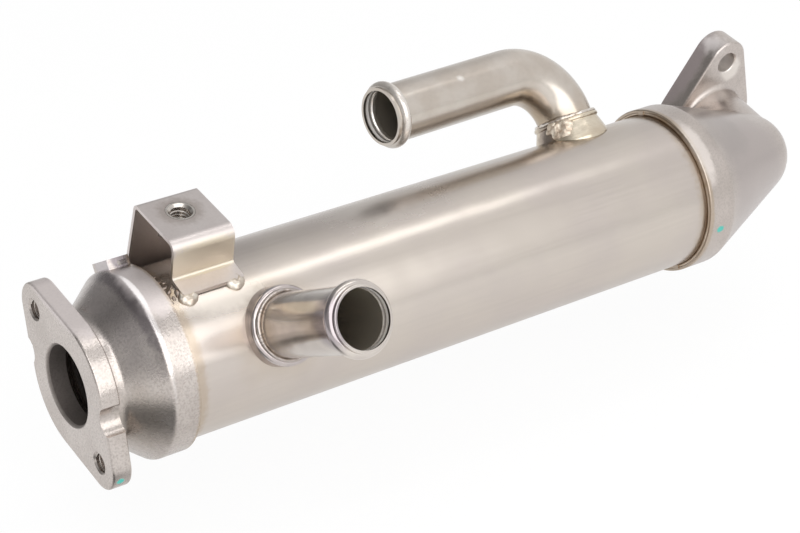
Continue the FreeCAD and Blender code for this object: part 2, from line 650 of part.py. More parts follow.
def build_gas_tubes():
    """The nineteen gas tubes, each a straight tube brazed in both tube sheets."""
    start = f"({SHELL_START} + sheet_inset - tube_stand)"
    end = f"({SHELL_END} - sheet_inset + tube_stand)"
    outside = doc.addObject("Part::Cylinder", "tube_outside")
    bind(outside, Radius="tube_radius", Height=f"{end} - {start}")
    inside = doc.addObject("Part::Cylinder", "tube_inside")
    bind(inside, Radius="tube_radius - tube_wall", Height=f"{end} - {start}")
    tubes = []
    for number, (a, b) in enumerate(hex_places(2), 1):
        tube = doc.addObject("Part::Cut", f"gas_tube_{number:02d}")
        tube.Base = outside
        tube.Tool = inside
        place(tube, start, f"({a} + {b} / 2) * {TUBE_PITCH}",
              f"{b} * sqrt(3) / 2 * {TUBE_PITCH}", ("vector(0; 1; 0)", "90"))
        tubes.append(tube)
    return tubes


# Braze fillets
def braze_ring(name, x, way, foot):
    """A three-sided ring of braze on the shell, its back against a casting."""
    body = new_body(name)
    revolve(body, polygon_sketch(body, f"{name}_section", "XZ_Plane", [
        (x, SEAT_RADIUS),
        (f"{x} + {way} * braze_leg", SEAT_RADIUS),
        (x, f"{SEAT_RADIUS} + {foot}")]))
    return body


# Coolant pipes
def bead(body, name, radius, offset, plane="XY_Plane"):
    """The rolled bead outside a pipe, and the function that hollows it afterwards."""
    primitive(body, "AdditiveTorus", f"{name}_bead", plane, offset,
              Radius1=f"{radius} + bead_height - bead_roll", Radius2="bead_roll")

    def hollow():
        return primitive(
            body, "SubtractiveCylinder", f"{name}_bead_hollow", plane,
            f"{offset} * {shift('pipe_wall - bead_roll')}",
            Radius=f"{radius} + bead_height - pipe_wall", Height="2 * (bead_roll - pipe_wall)")
    return hollow


def pipe_foot(radius):
    """Formula for how far from the shell's axis a pipe's inner end stands."""
    return f"(sqrt(pow({SHELL_INNER}; 2) - pow({radius}; 2)) - pipe_stand)"


def build_straight_pipe():
    """The straight coolant pipe with a rolled bead behind its mouth."""
    body = new_body("straight_coolant_pipe", STRAIGHT_PLACE)
    foot = pipe_foot("straight_pipe_radius")
    length = f"straight_pipe_reach - {foot}"
    pad(body, circle_sketch(
        body, "straight_outside", "XY_Plane", "straight_pipe_radius", offset=shift(foot)), length)
    hollow = bead(body, "straight", "straight_pipe_radius",
                  shift("straight_pipe_reach - bead_setback"))
    pocket(body, circle_sketch(
        body, "straight_inside", "XY_Plane", "straight_pipe_radius - pipe_wall",
        offset=shift(foot)), length, reverse=True)
    hollow()
    soften(body, "Fillet", "straight_mouth_round", lambda edge: is_ring(
        edge, "z", value("straight_pipe_reach"), value("straight_pipe_radius")), "0.4")
    return body


def build_bent_pipe():
    """The bent coolant pipe: up from the shell, round the bend, and along the run to the mouth."""
    body = new_body("bent_coolant_pipe", BENT_PLACE)
    foot = pipe_foot("bent_pipe_radius")
    rise = "(shell_radius + skirt_rise + bent_pipe_neck)"
    bend_x = "(bent_pipe_bend * (cos(bent_pipe_sweep) - 1))"
    bend_y = f"({rise} + bent_pipe_bend * sin(bent_pipe_sweep))"
    turned = f"placement(vector({bend_x}; 0; -{bend_y}); rotation(vector(0; 1; 0); bent_pipe_sweep))"
    bead_place = f"{turned} * {shift('bead_setback - bent_pipe_run')}"

    def sections(name, radius):
        """The circles that the foot, the bend and the run start from."""
        return [
            circle_sketch(body, f"bent_foot_{name}", "XZ_Plane", radius, offset=shift(f"-{foot}")),
            circle_sketch(body, f"bent_bend_{name}", "XZ_Plane", radius, "bent_pipe_bend",
                          offset=shift(f"-{rise}", "-bent_pipe_bend")),
            circle_sketch(body, f"bent_run_{name}", "XZ_Plane", radius, offset=turned)]

    start, bend, run = sections("outside", "bent_pipe_radius")
    pad(body, start, f"{rise} - {foot}", reverse=True)
    revolve(body, bend, axis="V_Axis", angle="bent_pipe_sweep")
    pad(body, run, "bent_pipe_run", reverse=True)
    hollow = bead(body, "bent", "bent_pipe_radius", bead_place, "XZ_Plane")
    start, bend, run = sections("inside", "bent_pipe_radius - pipe_wall")
    pocket(body, start, f"{rise} - {foot}")
    revolve(body, bend, cut=True, axis="V_Axis", angle="bent_pipe_sweep")
    pocket(body, run, "bent_pipe_run")
    hollow()
    return body


# Collars and weld rings of the pipes
def cut_by(name, base, tools):
    """A piece cut to shape by the pieces that it fits against."""
    joined = tools[0]
    if len(tools) > 1:
        joined = doc.addObject("Part::MultiFuse", f"{name}_tools")
        joined.Shapes = tools
    result = doc.addObject("Part::Cut", name)
    result.Label = name
    result.Base = base
    result.Tool = joined
    return result


def shell_form():
    """The shell's full outside, used to shape what is seated on it."""
    form = doc.addObject("Part::Cylinder", "shell_form")
    bind(form, Radius="shell_radius + fit_gap / 2", Height=SHELL_END)
    place(form, turn=("vector(0; 1; 0)", "90"))
    return form


def build_collar(name, placement, profile, plane):
    """The blank of a collar, turned about its pipe."""
    blank = new_body(f"{name}_blank", placement)
    revolve(blank, polygon_sketch(blank, f"{name}_section", plane, profile), axis="V_Axis")
    return blank


def build_straight_collar(form):
    """The thick collar round the straight pipe's foot."""
    low = "(shell_radius - collar_drop)"
    top = "(shell_radius + collar_rise)"
    bore = "(straight_pipe_radius + fit_gap)"
    blank = build_collar("straight_pipe_collar", STRAIGHT_PLACE, [
        (bore, low),
        (f"{bore} + collar_wall", low),
        (f"{bore} + collar_wall", top),
        (bore, top)], "XZ_Plane")
    soften(blank, "Fillet", "collar_round", lambda edge: is_ring(
        edge, "z", value(top), value(f"{bore} + collar_wall")), "collar_wall * 0.55")
    return cut_by("straight_pipe_collar", blank, [form])


def build_bent_collar(form):
    """The thin flared collar round the bent pipe's foot, with a lip at its top."""
    low = "(shell_radius - collar_drop)"
    top = "(shell_radius + skirt_rise)"
    bore = "(bent_pipe_radius + fit_gap)"
    flare_foot = f"{bore} + skirt_wall + skirt_flare"
    blank = build_collar("bent_pipe_collar", BENT_PLACE, [
        (bore, low),
        (flare_foot, low),
        (flare_foot, "shell_radius - skirt_flare"),
        (f"{bore} + skirt_wall", f"{top} - lip_roll"),
        (f"{bore} + skirt_wall", top),
        (bore, top)], "XY_Plane")
    primitive(blank, "AdditiveTorus", "bent_collar_lip", "XZ_Plane",
              shift(f"-{top}"), Radius1=f"{bore} + skirt_wall - lip_roll / 2",
              Radius2="lip_roll")
    pocket(blank, circle_sketch(blank, "bent_collar_bore", "XZ_Plane", bore,
                                offset=shift(f"-{low}")), "collar_drop * 3")
    return cut_by("bent_pipe_collar", blank, [form])


def build_weld_ring(name, placement, turned, radius, height, tools):
    """A ring of weld round a pipe, lying on top of its collar."""
    ring = doc.addObject("Part::Torus", f"{name}_blank")
    bind(ring, Radius1=f"{radius} + weld_roll * 0.6", Radius2="weld_roll")
    offset = f" * placement({height}; rotation(vector(1; 0; 0); {turned}))"
    ring.setExpression("Placement", cells(placement + offset))
    core = doc.addObject("Part::Cylinder", f"{name}_core")
    bind(core, Radius=f"{radius} + fit_gap / 2", Height="shell_radius * 2")
    core.setExpression("Placement", cells(
        placement + f" * placement(vector(0; 0; 0); rotation(vector(1; 0; 0); {turned}))"))
    return cut_by(name, ring, [core] + tools)


# Bracket, weld nut and tack welds
def build_bracket():
    """The bracket, folded from one strip: foot, front web, top and slanted back leg."""
    start = "(inlet_depth + bracket_setback)"
    body = new_body("mounting_bracket", shift("0", start))
    seat = "(shell_radius + fit_gap)"
    lean = "asin((bracket_front + bracket_foot / 2) / shell_radius)"
    inner_y = "(bracket_sheet - bracket_front)"
    top_in = "(bracket_top - bracket_sheet)"
    tip_y = "(-bracket_front - bracket_foot)"

    def foot_z(y, lift):
        return f"(({seat} + {lift}) / cos({lean}) + {y} * tan({lean}))"

    def leg_y(z, lift):
        return f"((({seat} + {lift}) - {z} * sin(bracket_slant)) / cos(bracket_slant))"

    tail_z = "(shell_radius * sin(bracket_slant) - bracket_tail)"
    corners = [
        (tip_y, foot_z(tip_y, "0")),
        (inner_y, foot_z(inner_y, "0")),
        (inner_y, top_in),
        (leg_y(top_in, "0"), top_in),
        (leg_y(tail_z, "0"), tail_z),
        (leg_y(tail_z, "bracket_sheet"), tail_z),
        (leg_y("bracket_top", "bracket_sheet"), "bracket_top"),
        ("-bracket_front", "bracket_top"),
        ("-bracket_front", foot_z("-bracket_front", "bracket_sheet")),
        (tip_y, foot_z(tip_y, "bracket_sheet"))]
    pad(body, polygon_sketch(body, "bracket_strip", "YZ_Plane", corners), "bracket_width")
    bends = (
        ("front", 7, 2, "front_bend"), ("back", 6, 3, "back_bend"), ("foot", 1, 8, "foot_bend"))
    for name, outer, inner, radius in bends:
        for side, corner, amount in (
                ("outer", outer, radius), ("inner", inner, f"{radius} - bracket_sheet")):
            y, z = (value(item) for item in corners[corner])
            soften(body, "Fillet", f"{name}_bend_{side}", lambda edge: all(
                math.hypot(v.Point.y - y, v.Point.z - z) < 0.01 for v in edge.Vertexes), amount)
    nut_y = "(nut_offset - bracket_front)"
    pocket(body, circle_sketch(
        body, "nut_hole", "XY_Plane", "nut_pilot + fit_gap", "bracket_width / 2", nut_y,
        shift("bracket_top + 1")), "bracket_sheet * 3")
    soften(body, "Fillet", "bracket_corners", is_plate_corner, "1")
    return body


def is_plate_corner(edge):
    """Whether an edge is a sheared corner of the front foot or of the back leg."""
    if len(edge.Vertexes) != 2 or abs(edge.Length - value("bracket_sheet")) > 0.02:
        return False
    middle = edge.CenterOfMass
    return middle.y < -value("bracket_front + bracket_foot") + 0.5 or middle.z < 5


def build_nut():
    """The hexagonal weld nut under the bracket's top, its pilot filling the top's hole."""
    x = "(inlet_depth + bracket_setback + bracket_width / 2)"
    body = new_body("weld_nut", f"placement(vector({x}; nut_offset - bracket_front;"
                                " bracket_top); rotation(vector(1; 0; 0); 0))")
    seat = "(-bracket_sheet)"
    corner = "(nut_flats / sqrt(3))"
    hexagon = [(f"{corner} * cos({60 * step})", f"{corner} * sin({60 * step})")
               for step in range(6)]
    pad(body, polygon_sketch(body, "nut_body", "XY_Plane", hexagon, shift(seat)),
        "nut_height", reverse=True)
    pad(body, circle_sketch(body, "nut_pilot_ring", "XY_Plane", "nut_pilot", offset=shift(seat)),
        "bracket_sheet")
    pocket(body, circle_sketch(body, "nut_bore", "XY_Plane", "nut_thread", offset=shift("1")),
           "nut_height * 2")
    soften(body, "Chamfer", "nut_mouth", lambda edge: is_ring(
        edge, "z", 0, value("nut_thread")), "0.9")
    return body


def build_tacks(bracket, form):
    """The tack welds at the two corners of the bracket's front foot."""
    tacks = []
    far = "(bracket_front + bracket_foot + tack_radius * 0.25)"
    for number, along in enumerate(("1.8", "(bracket_width - 1.8)")):
        blob = doc.addObject("Part::Sphere", f"tack_blank_{number}")
        bind(blob, Radius="tack_radius")
        place(blob, f"inlet_depth + bracket_setback + {along}", f"-{far}",
              f"sqrt(pow(shell_radius; 2) - pow({far}; 2)) + fit_gap")
        tacks.append(cut_by(f"tack_{number}", blob, [bracket, form]))
    group = doc.addObject("Part::Compound", "bracket_tack_welds")
    group.Links = tacks
    return group


inlet = build_inlet_casting()
outlet = build_outlet_casting()
shell = build_shell()
sheets = [
    bundle_plate("inlet_tube_sheet", f"{SHELL_INNER} - fit_gap", "sheet_thick",
                 f"({SHELL_START} + sheet_inset)", "tube_radius + fit_gap"),
    bundle_plate("outlet_tube_sheet", f"{SHELL_INNER} - fit_gap", "sheet_thick",
                 f"({SHELL_END} - sheet_inset - sheet_thick)", "tube_radius + fit_gap")]
BAFFLES = 3
baffles = [
    bundle_plate(f"baffle_{number + 1}", f"{SHELL_INNER} - fit_gap * 2", "baffle_thick",
                 f"({STRAIGHT_X} + ({BENT_X} - {STRAIGHT_X}) * {2 * number + 1} / {2 * BAFFLES})",
                 "tube_radius + fit_gap", (-1) ** number)
    for number in range(BAFFLES)]
gas_tubes = build_gas_tubes()
inlet_braze = braze_ring("inlet_braze_ring", "inlet_depth", "1", "braze_leg")
outlet_braze = cut_by("outlet_braze_ring", braze_ring(
    "outlet_braze_blank", f"({OUTLET_START} + groove_depth)", "-1",
    "(outlet_rim_wall - outlet_lip) * 0.7"), [outlet])
straight_pipe = build_straight_pipe()
bent_pipe = build_bent_pipe()
form = shell_form()
straight_collar = build_straight_collar(form)
bent_collar = build_bent_collar(form)
straight_weld = build_weld_ring(
    "straight_pipe_weld", STRAIGHT_PLACE, "0", "straight_pipe_radius",
    "vector(0; 0; shell_radius + collar_rise)", [straight_collar])
bent_weld = build_weld_ring(
    "bent_pipe_weld", BENT_PLACE, "-90", "bent_pipe_radius",
    "vector(0; shell_radius + skirt_rise + lip_roll * 0.9; 0)", [bent_collar])
bracket = build_bracket()
nut = build_nut()
tacks = build_tacks(bracket, form)
doc.recompute()

pieces = [
    inlet, outlet, shell, *sheets, *baffles, *gas_tubes, inlet_braze, outlet_braze,
    straight_pipe, bent_pipe, straight_collar, bent_collar, straight_weld, bent_weld,
    bracket, nut, tacks]
for item in doc.Objects:
    if "Invalid" in item.State or "Error" in item.State:
        raise ValueError(f"{item.Name} did not recompute")
for piece in pieces:
    if piece.Shape.isNull() or not piece.Shape.isValid() or not piece.Shape.Solids:
        raise ValueError(f"{piece.Label} has no valid solid")

os.makedirs("parts", exist_ok=True)
for piece in pieces:
    piece.Shape.exportStep(f"parts/{piece.Label}.step")
    print(f"{piece.Label}: {len(piece.Shape.Solids)} solid, {piece.Shape.Volume / 1000:.2f} cm3")
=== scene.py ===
"""An exhaust gas cooler in a plain studio: finishes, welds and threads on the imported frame."""

import json
import logging
import math
from dataclasses import dataclass, field
from enum import Enum
from typing import Callable, Dict, List, Mapping, Optional, Sequence, Tuple, Union

import bpy
from mathutils import Matrix, Vector

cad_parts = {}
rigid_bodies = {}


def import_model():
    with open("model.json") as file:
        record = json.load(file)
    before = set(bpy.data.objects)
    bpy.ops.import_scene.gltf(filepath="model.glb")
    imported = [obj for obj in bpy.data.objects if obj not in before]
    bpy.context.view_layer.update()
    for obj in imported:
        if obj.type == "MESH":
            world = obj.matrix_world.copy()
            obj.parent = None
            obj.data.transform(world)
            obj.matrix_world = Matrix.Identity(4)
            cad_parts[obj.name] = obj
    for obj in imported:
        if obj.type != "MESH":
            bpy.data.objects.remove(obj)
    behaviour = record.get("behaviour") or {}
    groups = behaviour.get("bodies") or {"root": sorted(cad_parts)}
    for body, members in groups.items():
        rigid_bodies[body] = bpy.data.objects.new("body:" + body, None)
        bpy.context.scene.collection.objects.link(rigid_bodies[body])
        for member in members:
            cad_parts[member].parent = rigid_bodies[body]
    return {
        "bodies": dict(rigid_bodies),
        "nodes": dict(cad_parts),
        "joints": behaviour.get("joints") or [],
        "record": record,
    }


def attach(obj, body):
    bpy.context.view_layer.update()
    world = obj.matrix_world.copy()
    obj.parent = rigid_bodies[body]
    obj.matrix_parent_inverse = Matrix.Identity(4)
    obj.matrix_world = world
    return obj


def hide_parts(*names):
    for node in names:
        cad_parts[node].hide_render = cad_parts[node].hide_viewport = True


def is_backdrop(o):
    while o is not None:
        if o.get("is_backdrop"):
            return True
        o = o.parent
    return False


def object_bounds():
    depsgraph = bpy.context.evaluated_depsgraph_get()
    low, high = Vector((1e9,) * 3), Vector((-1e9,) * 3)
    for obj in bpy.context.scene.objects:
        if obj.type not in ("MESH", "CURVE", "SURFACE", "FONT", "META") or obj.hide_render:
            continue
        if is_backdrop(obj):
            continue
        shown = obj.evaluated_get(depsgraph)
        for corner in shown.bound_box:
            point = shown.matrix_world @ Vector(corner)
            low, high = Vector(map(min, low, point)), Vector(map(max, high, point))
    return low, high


MM = 0.001
WHITE = (1.0, 1.0, 1.0)
BLACK = (0.0, 0.0, 0.0)
ALONG_X = (1.0, 0.0, 0.0)
ALONG_Y = (0.0, 1.0, 0.0)
ALONG_Z = (0.0, 0.0, 1.0)
MERGE_DISTANCE = 0.01  # millimetres
SMOOTH_ANGLE = 40.0  # degrees
FACING = 0.5  # how far a normal points along Z where its face closes an end

# Sockets of a Mix node that mixes colours
MIX_FACTOR, MIX_FIRST, MIX_SECOND, MIX_RESULT = 0, 6, 7, 2

# How a finish uses its noise
DRIFT_STEP = (0.35, 0.68)  # values between which its colour drifts to its shade
SPECKLE_STEP = (0.40, 0.72)  # values between which a speckle darkens it
SPECKLE_TINT = 0.55  # a speckle's colour, as a share of the shade
UNEVEN_SHARE = 0.4  # size of its patches of gloss, as a share of the drift's
GRAIN_STRENGTH = 0.7  # strength of its fine bump
EDGE_SHARE = 0.7  # size of the noise on a stain's edge, as a share of its smallest reach

Colour = Tuple[float, float, float]
Triple = Tuple[float, float, float]
Number = Union["Wire", float]

log = logging.getLogger("gas_cooler")


# Shader sockets and node trees
class Wire:
    """A node's output, on which shader arithmetic is written as Python expressions."""

    def __init__(self, shader: "Shader", socket: bpy.types.NodeSocket) -> None:
        """Keep the shader that the socket belongs to.

        Args:
            shader: the node tree that new nodes are added to.
            socket: the output that this wire starts from.
        """
        self.shader = shader
        self.socket = socket

    def _math(self, operation: str, first: Number, second: Number) -> "Wire":
        """Add one Math node.

        Args:
            operation: the Math node's operation.
            first: its first value or wire.
            second: its second value or wire.

        Returns:
            The node's result.
        """
        return self.shader.node("ShaderNodeMath", {"operation": operation}, {0: first, 1: second})

    def __add__(self, other: Number) -> "Wire":
        """This value plus another."""
        return self._math("ADD", self, other)

    def __radd__(self, other: Number) -> "Wire":
        """Another value plus this one."""
        return self._math("ADD", other, self)

    def __sub__(self, other: Number) -> "Wire":
        """This value less another."""
        return self._math("SUBTRACT", self, other)

    def __rsub__(self, other: Number) -> "Wire":
        """Another value less this one."""
        return self._math("SUBTRACT", other, self)

    def __mul__(self, other: Number) -> "Wire":
        """This value times another."""
        return self._math("MULTIPLY", self, other)

    def __rmul__(self, other: Number) -> "Wire":
        """Another value times this one."""
        return self._math("MULTIPLY", other, self)

    def top(self, other: Number) -> "Wire":
        """The larger of this value and another."""
        return self._math("MAXIMUM", self, other)


class Shader:
    """The node tree of one material or of the world, while it is being made."""

    def __init__(self, tree: bpy.types.NodeTree) -> None:
        """Empty a node tree.

        Args:
            tree: the tree of a material or of the world.
        """
        self.tree = tree
        self.tree.nodes.clear()

    def node(self, kind: str, settings: Optional[Mapping[str, object]] = None,
             inputs: Optional[Mapping[Union[int, str], object]] = None,
             output: Union[int, str] = 0) -> Wire:
        """Add a node of any type.

        Args:
            kind: the node's type.
            settings: properties set before the sockets.
            inputs: values or wires of its sockets.
            output: which of its outputs to return.

        Returns:
            The chosen output.
        """
        node = self.tree.nodes.new(kind)
        for name, setting in (settings or {}).items():
            setattr(node, name, setting)
        for name, value in (inputs or {}).items():
            if isinstance(value, Wire):
                self.tree.links.new(value.socket, node.inputs[name])
            elif node.inputs[name].type == "RGBA":
                node.inputs[name].default_value = (*value, 1.0)
            else:
                node.inputs[name].default_value = value
        return Wire(self, node.outputs[output])

    def place(self) -> Wire:
        """Object coordinates, which are the frame's own metres."""
        return self.node("ShaderNodeTexCoord", output="Object")

    def noise(self, size: float, detail: float = 2.0, stretch: Triple = (1.0, 1.0, 1.0)) -> Wire:
        """A soft random pattern.

        Args:
            size: the size of its features in millimetres.
            detail: how many finer layers it has.
            stretch: how much longer its features are along X, Y and Z.

        Returns:
            Values round 0.5.
        """
        scale = tuple(1.0 / (size * MM * length) for length in stretch)
        spot = self.node("ShaderNodeMapping", {}, {"Vector": self.place(), "Scale": scale})
        return self.node("ShaderNodeTexNoise", {}, {"Vector": spot, "Scale": 1.0, "Detail": detail})

    def rays(self) -> Tuple[Wire, Wire, Wire]:
        """Masks of the rays that show the surround.

        Returns:
            The masks of rays straight from the camera, reflected and refracted.
        """
        straight = self.node("ShaderNodeLightPath", output="Is Camera Ray")
        outputs = straight.socket.node.outputs
        glossy = Wire(self, outputs["Is Glossy Ray"])
        return straight, glossy, Wire(self, outputs["Is Transmission Ray"])

    def show(self, surface: Wire, output: str = "ShaderNodeOutputMaterial") -> None:
        """Make a surface or background the tree's result.

        Args:
            surface: the shader to show.
            output: the type of the output node.
        """
        result = self.tree.nodes.new(output)
        self.tree.links.new(surface.socket, result.inputs["Surface"])

    def smooth(self, value: Wire, low: float, high: float) -> Wire:
        """A smooth step from 0 to 1 as a value goes from low to high."""
        return self.node("ShaderNodeMapRange", {"interpolation_type": "SMOOTHSTEP"},
                         {"Value": value, "From Min": low, "From Max": high})

    def merge(self, first: Wire, second: Wire, factor: Wire) -> Wire:
        """A mix of two surfaces or backgrounds, the second one where the factor is 1."""
        return self.node("ShaderNodeMixShader", {}, {0: factor, 1: first, 2: second})

    def blend(self, first: Union[Wire, Colour], second: Union[Wire, Colour],
              factor: Number) -> Wire:
        """A mix of two colours.

        Args:
            first: the colour at a factor of 0.
            second: the colour at a factor of 1.
            factor: the share of the second colour.

        Returns:
            The mixed colour.
        """
        return self.node("ShaderNodeMix", {"data_type": "RGBA"}, {
            MIX_FACTOR: factor, MIX_FIRST: first, MIX_SECOND: second}, MIX_RESULT)

    def spot(self, centre: Triple, reach: Triple, ragged: float, axis: Triple) -> Wire:
        """A mask that is 1 inside an ellipsoid and fades out at its ragged edge.

        Args:
            centre: its centre in millimetres.
            reach: its half lengths in millimetres, the last one along its axis.
            ragged: how far noise moves the edge, as a share of the reach.
            axis: where its third half length points.

        Returns:
            The mask, from 0 to 1.
        """
        turn = tuple(Vector(axis).to_track_quat("Z", "Y").to_euler())
        local = self.node("ShaderNodeMapping", {"vector_type": "TEXTURE"}, {
            "Vector": self.place(), "Location": tuple(part * MM for part in centre),
            "Rotation": turn, "Scale": tuple(part * MM for part in reach)})
        far = self.node("ShaderNodeVectorMath", {"operation": "LENGTH"}, {0: local}, "Value")
        edge = far + (self.noise(min(reach) * EDGE_SHARE, detail=3.0) - 0.5) * (ragged * 2.0)
        return 1.0 - self.smooth(edge, 1.0 - ragged, 1.0 + ragged)


class Grain(Enum):
    """How a metal surface was made: how much longer its marks are along X, Y and Z."""

    EVEN = (1.0, 1.0, 1.0)
    ALONG_SHELL = (60.0, 1.0, 1.0)


@dataclass(frozen=True)
class StainAndPaintedLight:
    """A tinted, painted or soiled place, or painted light or shade: a ragged-edged ellipsoid.

    Lengths are in millimetres, and the last of its half lengths is along its axis. Its metallic
    value multiplies the finish's, and its roughness takes the place of the finish's.
    """

    centre: Triple
    reach: Triple
    colour: Colour
    strength: float
    ragged: float = 0.3
    metallic: float = 1.0
    roughness: Optional[float] = None
    axis: Triple = ALONG_Z


@dataclass(frozen=True)
class Metal:
    """A metal finish. Colours are linear, and lengths are in millimetres.

    It drifts to its shade in places as wide as wander, and its roughness varies by swing. The
    grain is its fine marks and the waves are its dents. Each mark, whether a stain or painted light
    or shade, lies over those before it.
    """

    name: str
    colour: Colour
    shade: Colour
    wander: float
    roughness: float
    swing: float
    grain_size: float
    grain_depth: float
    grain: Grain = Grain.EVEN
    stains_and_painted_light: Tuple[StainAndPaintedLight, ...] = ()
    metallic: float = 1.0
    speckle: float = 0.0
    wave_size: float = 20.0
    wave_depth: float = 0.0

    def material(self) -> bpy.types.Material:
        """Make the procedural material.

        Returns:
            The new material.
        """
        material = bpy.data.materials.new(self.name)
        material.use_nodes = True
        shader = Shader(material.node_tree)
        drift = shader.smooth(shader.noise(self.wander, detail=3.0), *DRIFT_STEP)
        fine = shader.noise(self.grain_size, stretch=self.grain.value)
        colour = shader.blend(self.colour, self.shade, drift)
        if self.speckle:
            dark = tuple(part * SPECKLE_TINT for part in self.shade)
            colour = shader.blend(colour, dark, shader.smooth(fine, *SPECKLE_STEP) * self.speckle)
        uneven = shader.noise(self.wander * UNEVEN_SHARE, stretch=self.grain.value)
        roughness = self.roughness + (uneven - 0.5) * self.swing
        metallic: Number = self.metallic
        for mark in self.stains_and_painted_light:
            mask = shader.spot(mark.centre, mark.reach, mark.ragged, mark.axis)
            mask = mask * mark.strength
            colour = shader.blend(colour, mark.colour, mask)
            if mark.metallic < 1.0:
                metallic = (1.0 - mask * (1.0 - mark.metallic)) * metallic
            if mark.roughness is not None:
                roughness = roughness + mask * (mark.roughness - self.roughness)
        bump = shader.node("ShaderNodeBump", {}, {
            "Strength": GRAIN_STRENGTH, "Distance": self.grain_depth * MM, "Height": fine})
        if self.wave_depth:
            wave = shader.noise(self.wave_size, detail=1.0)
            bump = shader.node("ShaderNodeBump", {}, {
                "Strength": 1.0, "Distance": self.wave_depth * MM, "Height": wave,
                "Normal": bump})
        surface = shader.node("ShaderNodeBsdfPrincipled", {}, {
            "Base Color": colour, "Metallic": metallic, "Roughness": roughness, "Normal": bump})
        shader.show(surface)
        return material


# Finishes of the cooler, and the colours of its marks and of its painted light and shade
HEAT_TAN = (0.40, 0.30, 0.19)
HEAT_BROWN = (0.22, 0.14, 0.085)
# painted light: pale, barely metallic inner wall just inside each pipe mouth, where it is lit
MOUTH_PAINTED_LIGHT = (0.80, 0.77, 0.74)
INNER_STEEL = (0.40, 0.355, 0.295)
INNER_PALE = (0.50, 0.45, 0.37)
INNER_GLOSS = 0.24
# painted reflection: dark lilac over the upper side of the inlet's bell
CAST_PAINTED_LILAC_REFLECTION = (0.32, 0.285, 0.295)
# painted reflection: dark band round the bell just before its shoulder
CAST_PAINTED_DARK_REFLECTION = (0.20, 0.175, 0.185)
# painted reflection: warm dark patch low on the bell, where it mirrors the shaded flange
CAST_PAINTED_FLANGE_REFLECTION = (0.33, 0.285, 0.24)
# painted highlight: bright line along the bell's shoulder
CAST_PAINTED_HIGHLIGHT = (0.78, 0.75, 0.74)
# painted light: pale, less metallic patches on the top of the rim and on the flange's upper edge
CAST_PAINTED_LIGHT = (0.66, 0.60, 0.59)
# painted shade: near black inside the inlet's bore and cone and inside the outlet's port
BORE_PAINTED_SHADE = (0.085, 0.068, 0.06)
TEAL_PAINT = (0.06, 0.42, 0.36)
STRAIGHT_WAY = (0.0593, -0.7920, 0.6077)
BENT_WAY = (-0.9965, -0.0752, 0.0358)

INLET_CAST = Metal(
    "cast_stainless_inlet", (0.55, 0.50, 0.468), (0.49, 0.442, 0.41), wander=14.0, roughness=0.27,
    swing=0.10, grain_size=0.75, grain_depth=0.06, speckle=0.40, wave_size=14.0, wave_depth=0.10,
    stains_and_painted_light=(
        # painted shade inside the inlet's bore and cone
        StainAndPaintedLight((15.0, 0.0, 0.0), (15.5, 15.5, 40.0), BORE_PAINTED_SHADE, 0.75, 0.03, metallic=0.6, roughness=0.6,
              axis=ALONG_X),
        StainAndPaintedLight((24.0, 0.0, 0.0), (26.5, 26.5, 17.5), BORE_PAINTED_SHADE, 0.9, 0.03, metallic=0.3, roughness=0.6,
              axis=ALONG_X),
        StainAndPaintedLight((17.5, 2.0, 33.0), (22.0, 30.0, 8.0), CAST_PAINTED_LILAC_REFLECTION, 0.4, 0.5, axis=ALONG_X),
        # painted dark reflection over the bell's upper side, above
        StainAndPaintedLight((20.8, -1.0, 34.0), (24.0, 26.0, 2.2), CAST_PAINTED_DARK_REFLECTION, 0.75, 0.4, axis=ALONG_X),
        # painted dark reflection before the bell's shoulder, above
        StainAndPaintedLight((13.5, -25.0, -2.0), (8.0, 9.0, 14.0), CAST_PAINTED_FLANGE_REFLECTION, 0.5, 0.5),
        # painted reflection of the shaded flange low on the bell, above
        StainAndPaintedLight((22.6, -9.0, 29.0), (26.0, 26.0, 0.8), CAST_PAINTED_HIGHLIGHT, 0.55, 0.5, axis=ALONG_X),
        # painted highlight along the bell's shoulder, above
        StainAndPaintedLight((26.5, 1.0, 33.5), (6.0, 17.5, 7.0), CAST_PAINTED_LIGHT, 0.7, 0.3, metallic=0.5,
              # painted light on the top of the rim, above
              roughness=0.42),
        StainAndPaintedLight((3.5, 12.0, 24.5), (5.0, 21.0, 3.0), CAST_PAINTED_LIGHT, 0.7, 0.2, metallic=0.5,
              # painted light on the flange's upper edge, above
              roughness=0.5),
        # painted shade: a dark hollow beside the lug, where the rim has no recess
        StainAndPaintedLight((28.8, 20.0, 29.0), (4.2, 4.2, 4.0), (0.28, 0.25, 0.26), 0.95, 0.15),
        StainAndPaintedLight((23.6, 21.5, 26.5), (0.9, 6.0, 5.0), (0.62, 0.58, 0.59), 0.85, 0.3, metallic=0.4,
              roughness=0.42),
        # painted highlight on the top of the bell's shoulder
        StainAndPaintedLight((23.2, -1.5, 32.3), (1.0, 10.0, 3.0), (0.92, 0.88, 0.87), 0.85, 0.3, metallic=0.2,
              roughness=0.42),
        StainAndPaintedLight((31.9, 0.0, 0.0), (80.0, 80.0, 1.1), HEAT_TAN, 0.5, 0.5, axis=ALONG_X),
        StainAndPaintedLight((2.8, -32.5, -16.8), (1.3, 1.3, 1.2), TEAL_PAINT, 1.0, 0.3, metallic=0.0,
              roughness=0.45)))
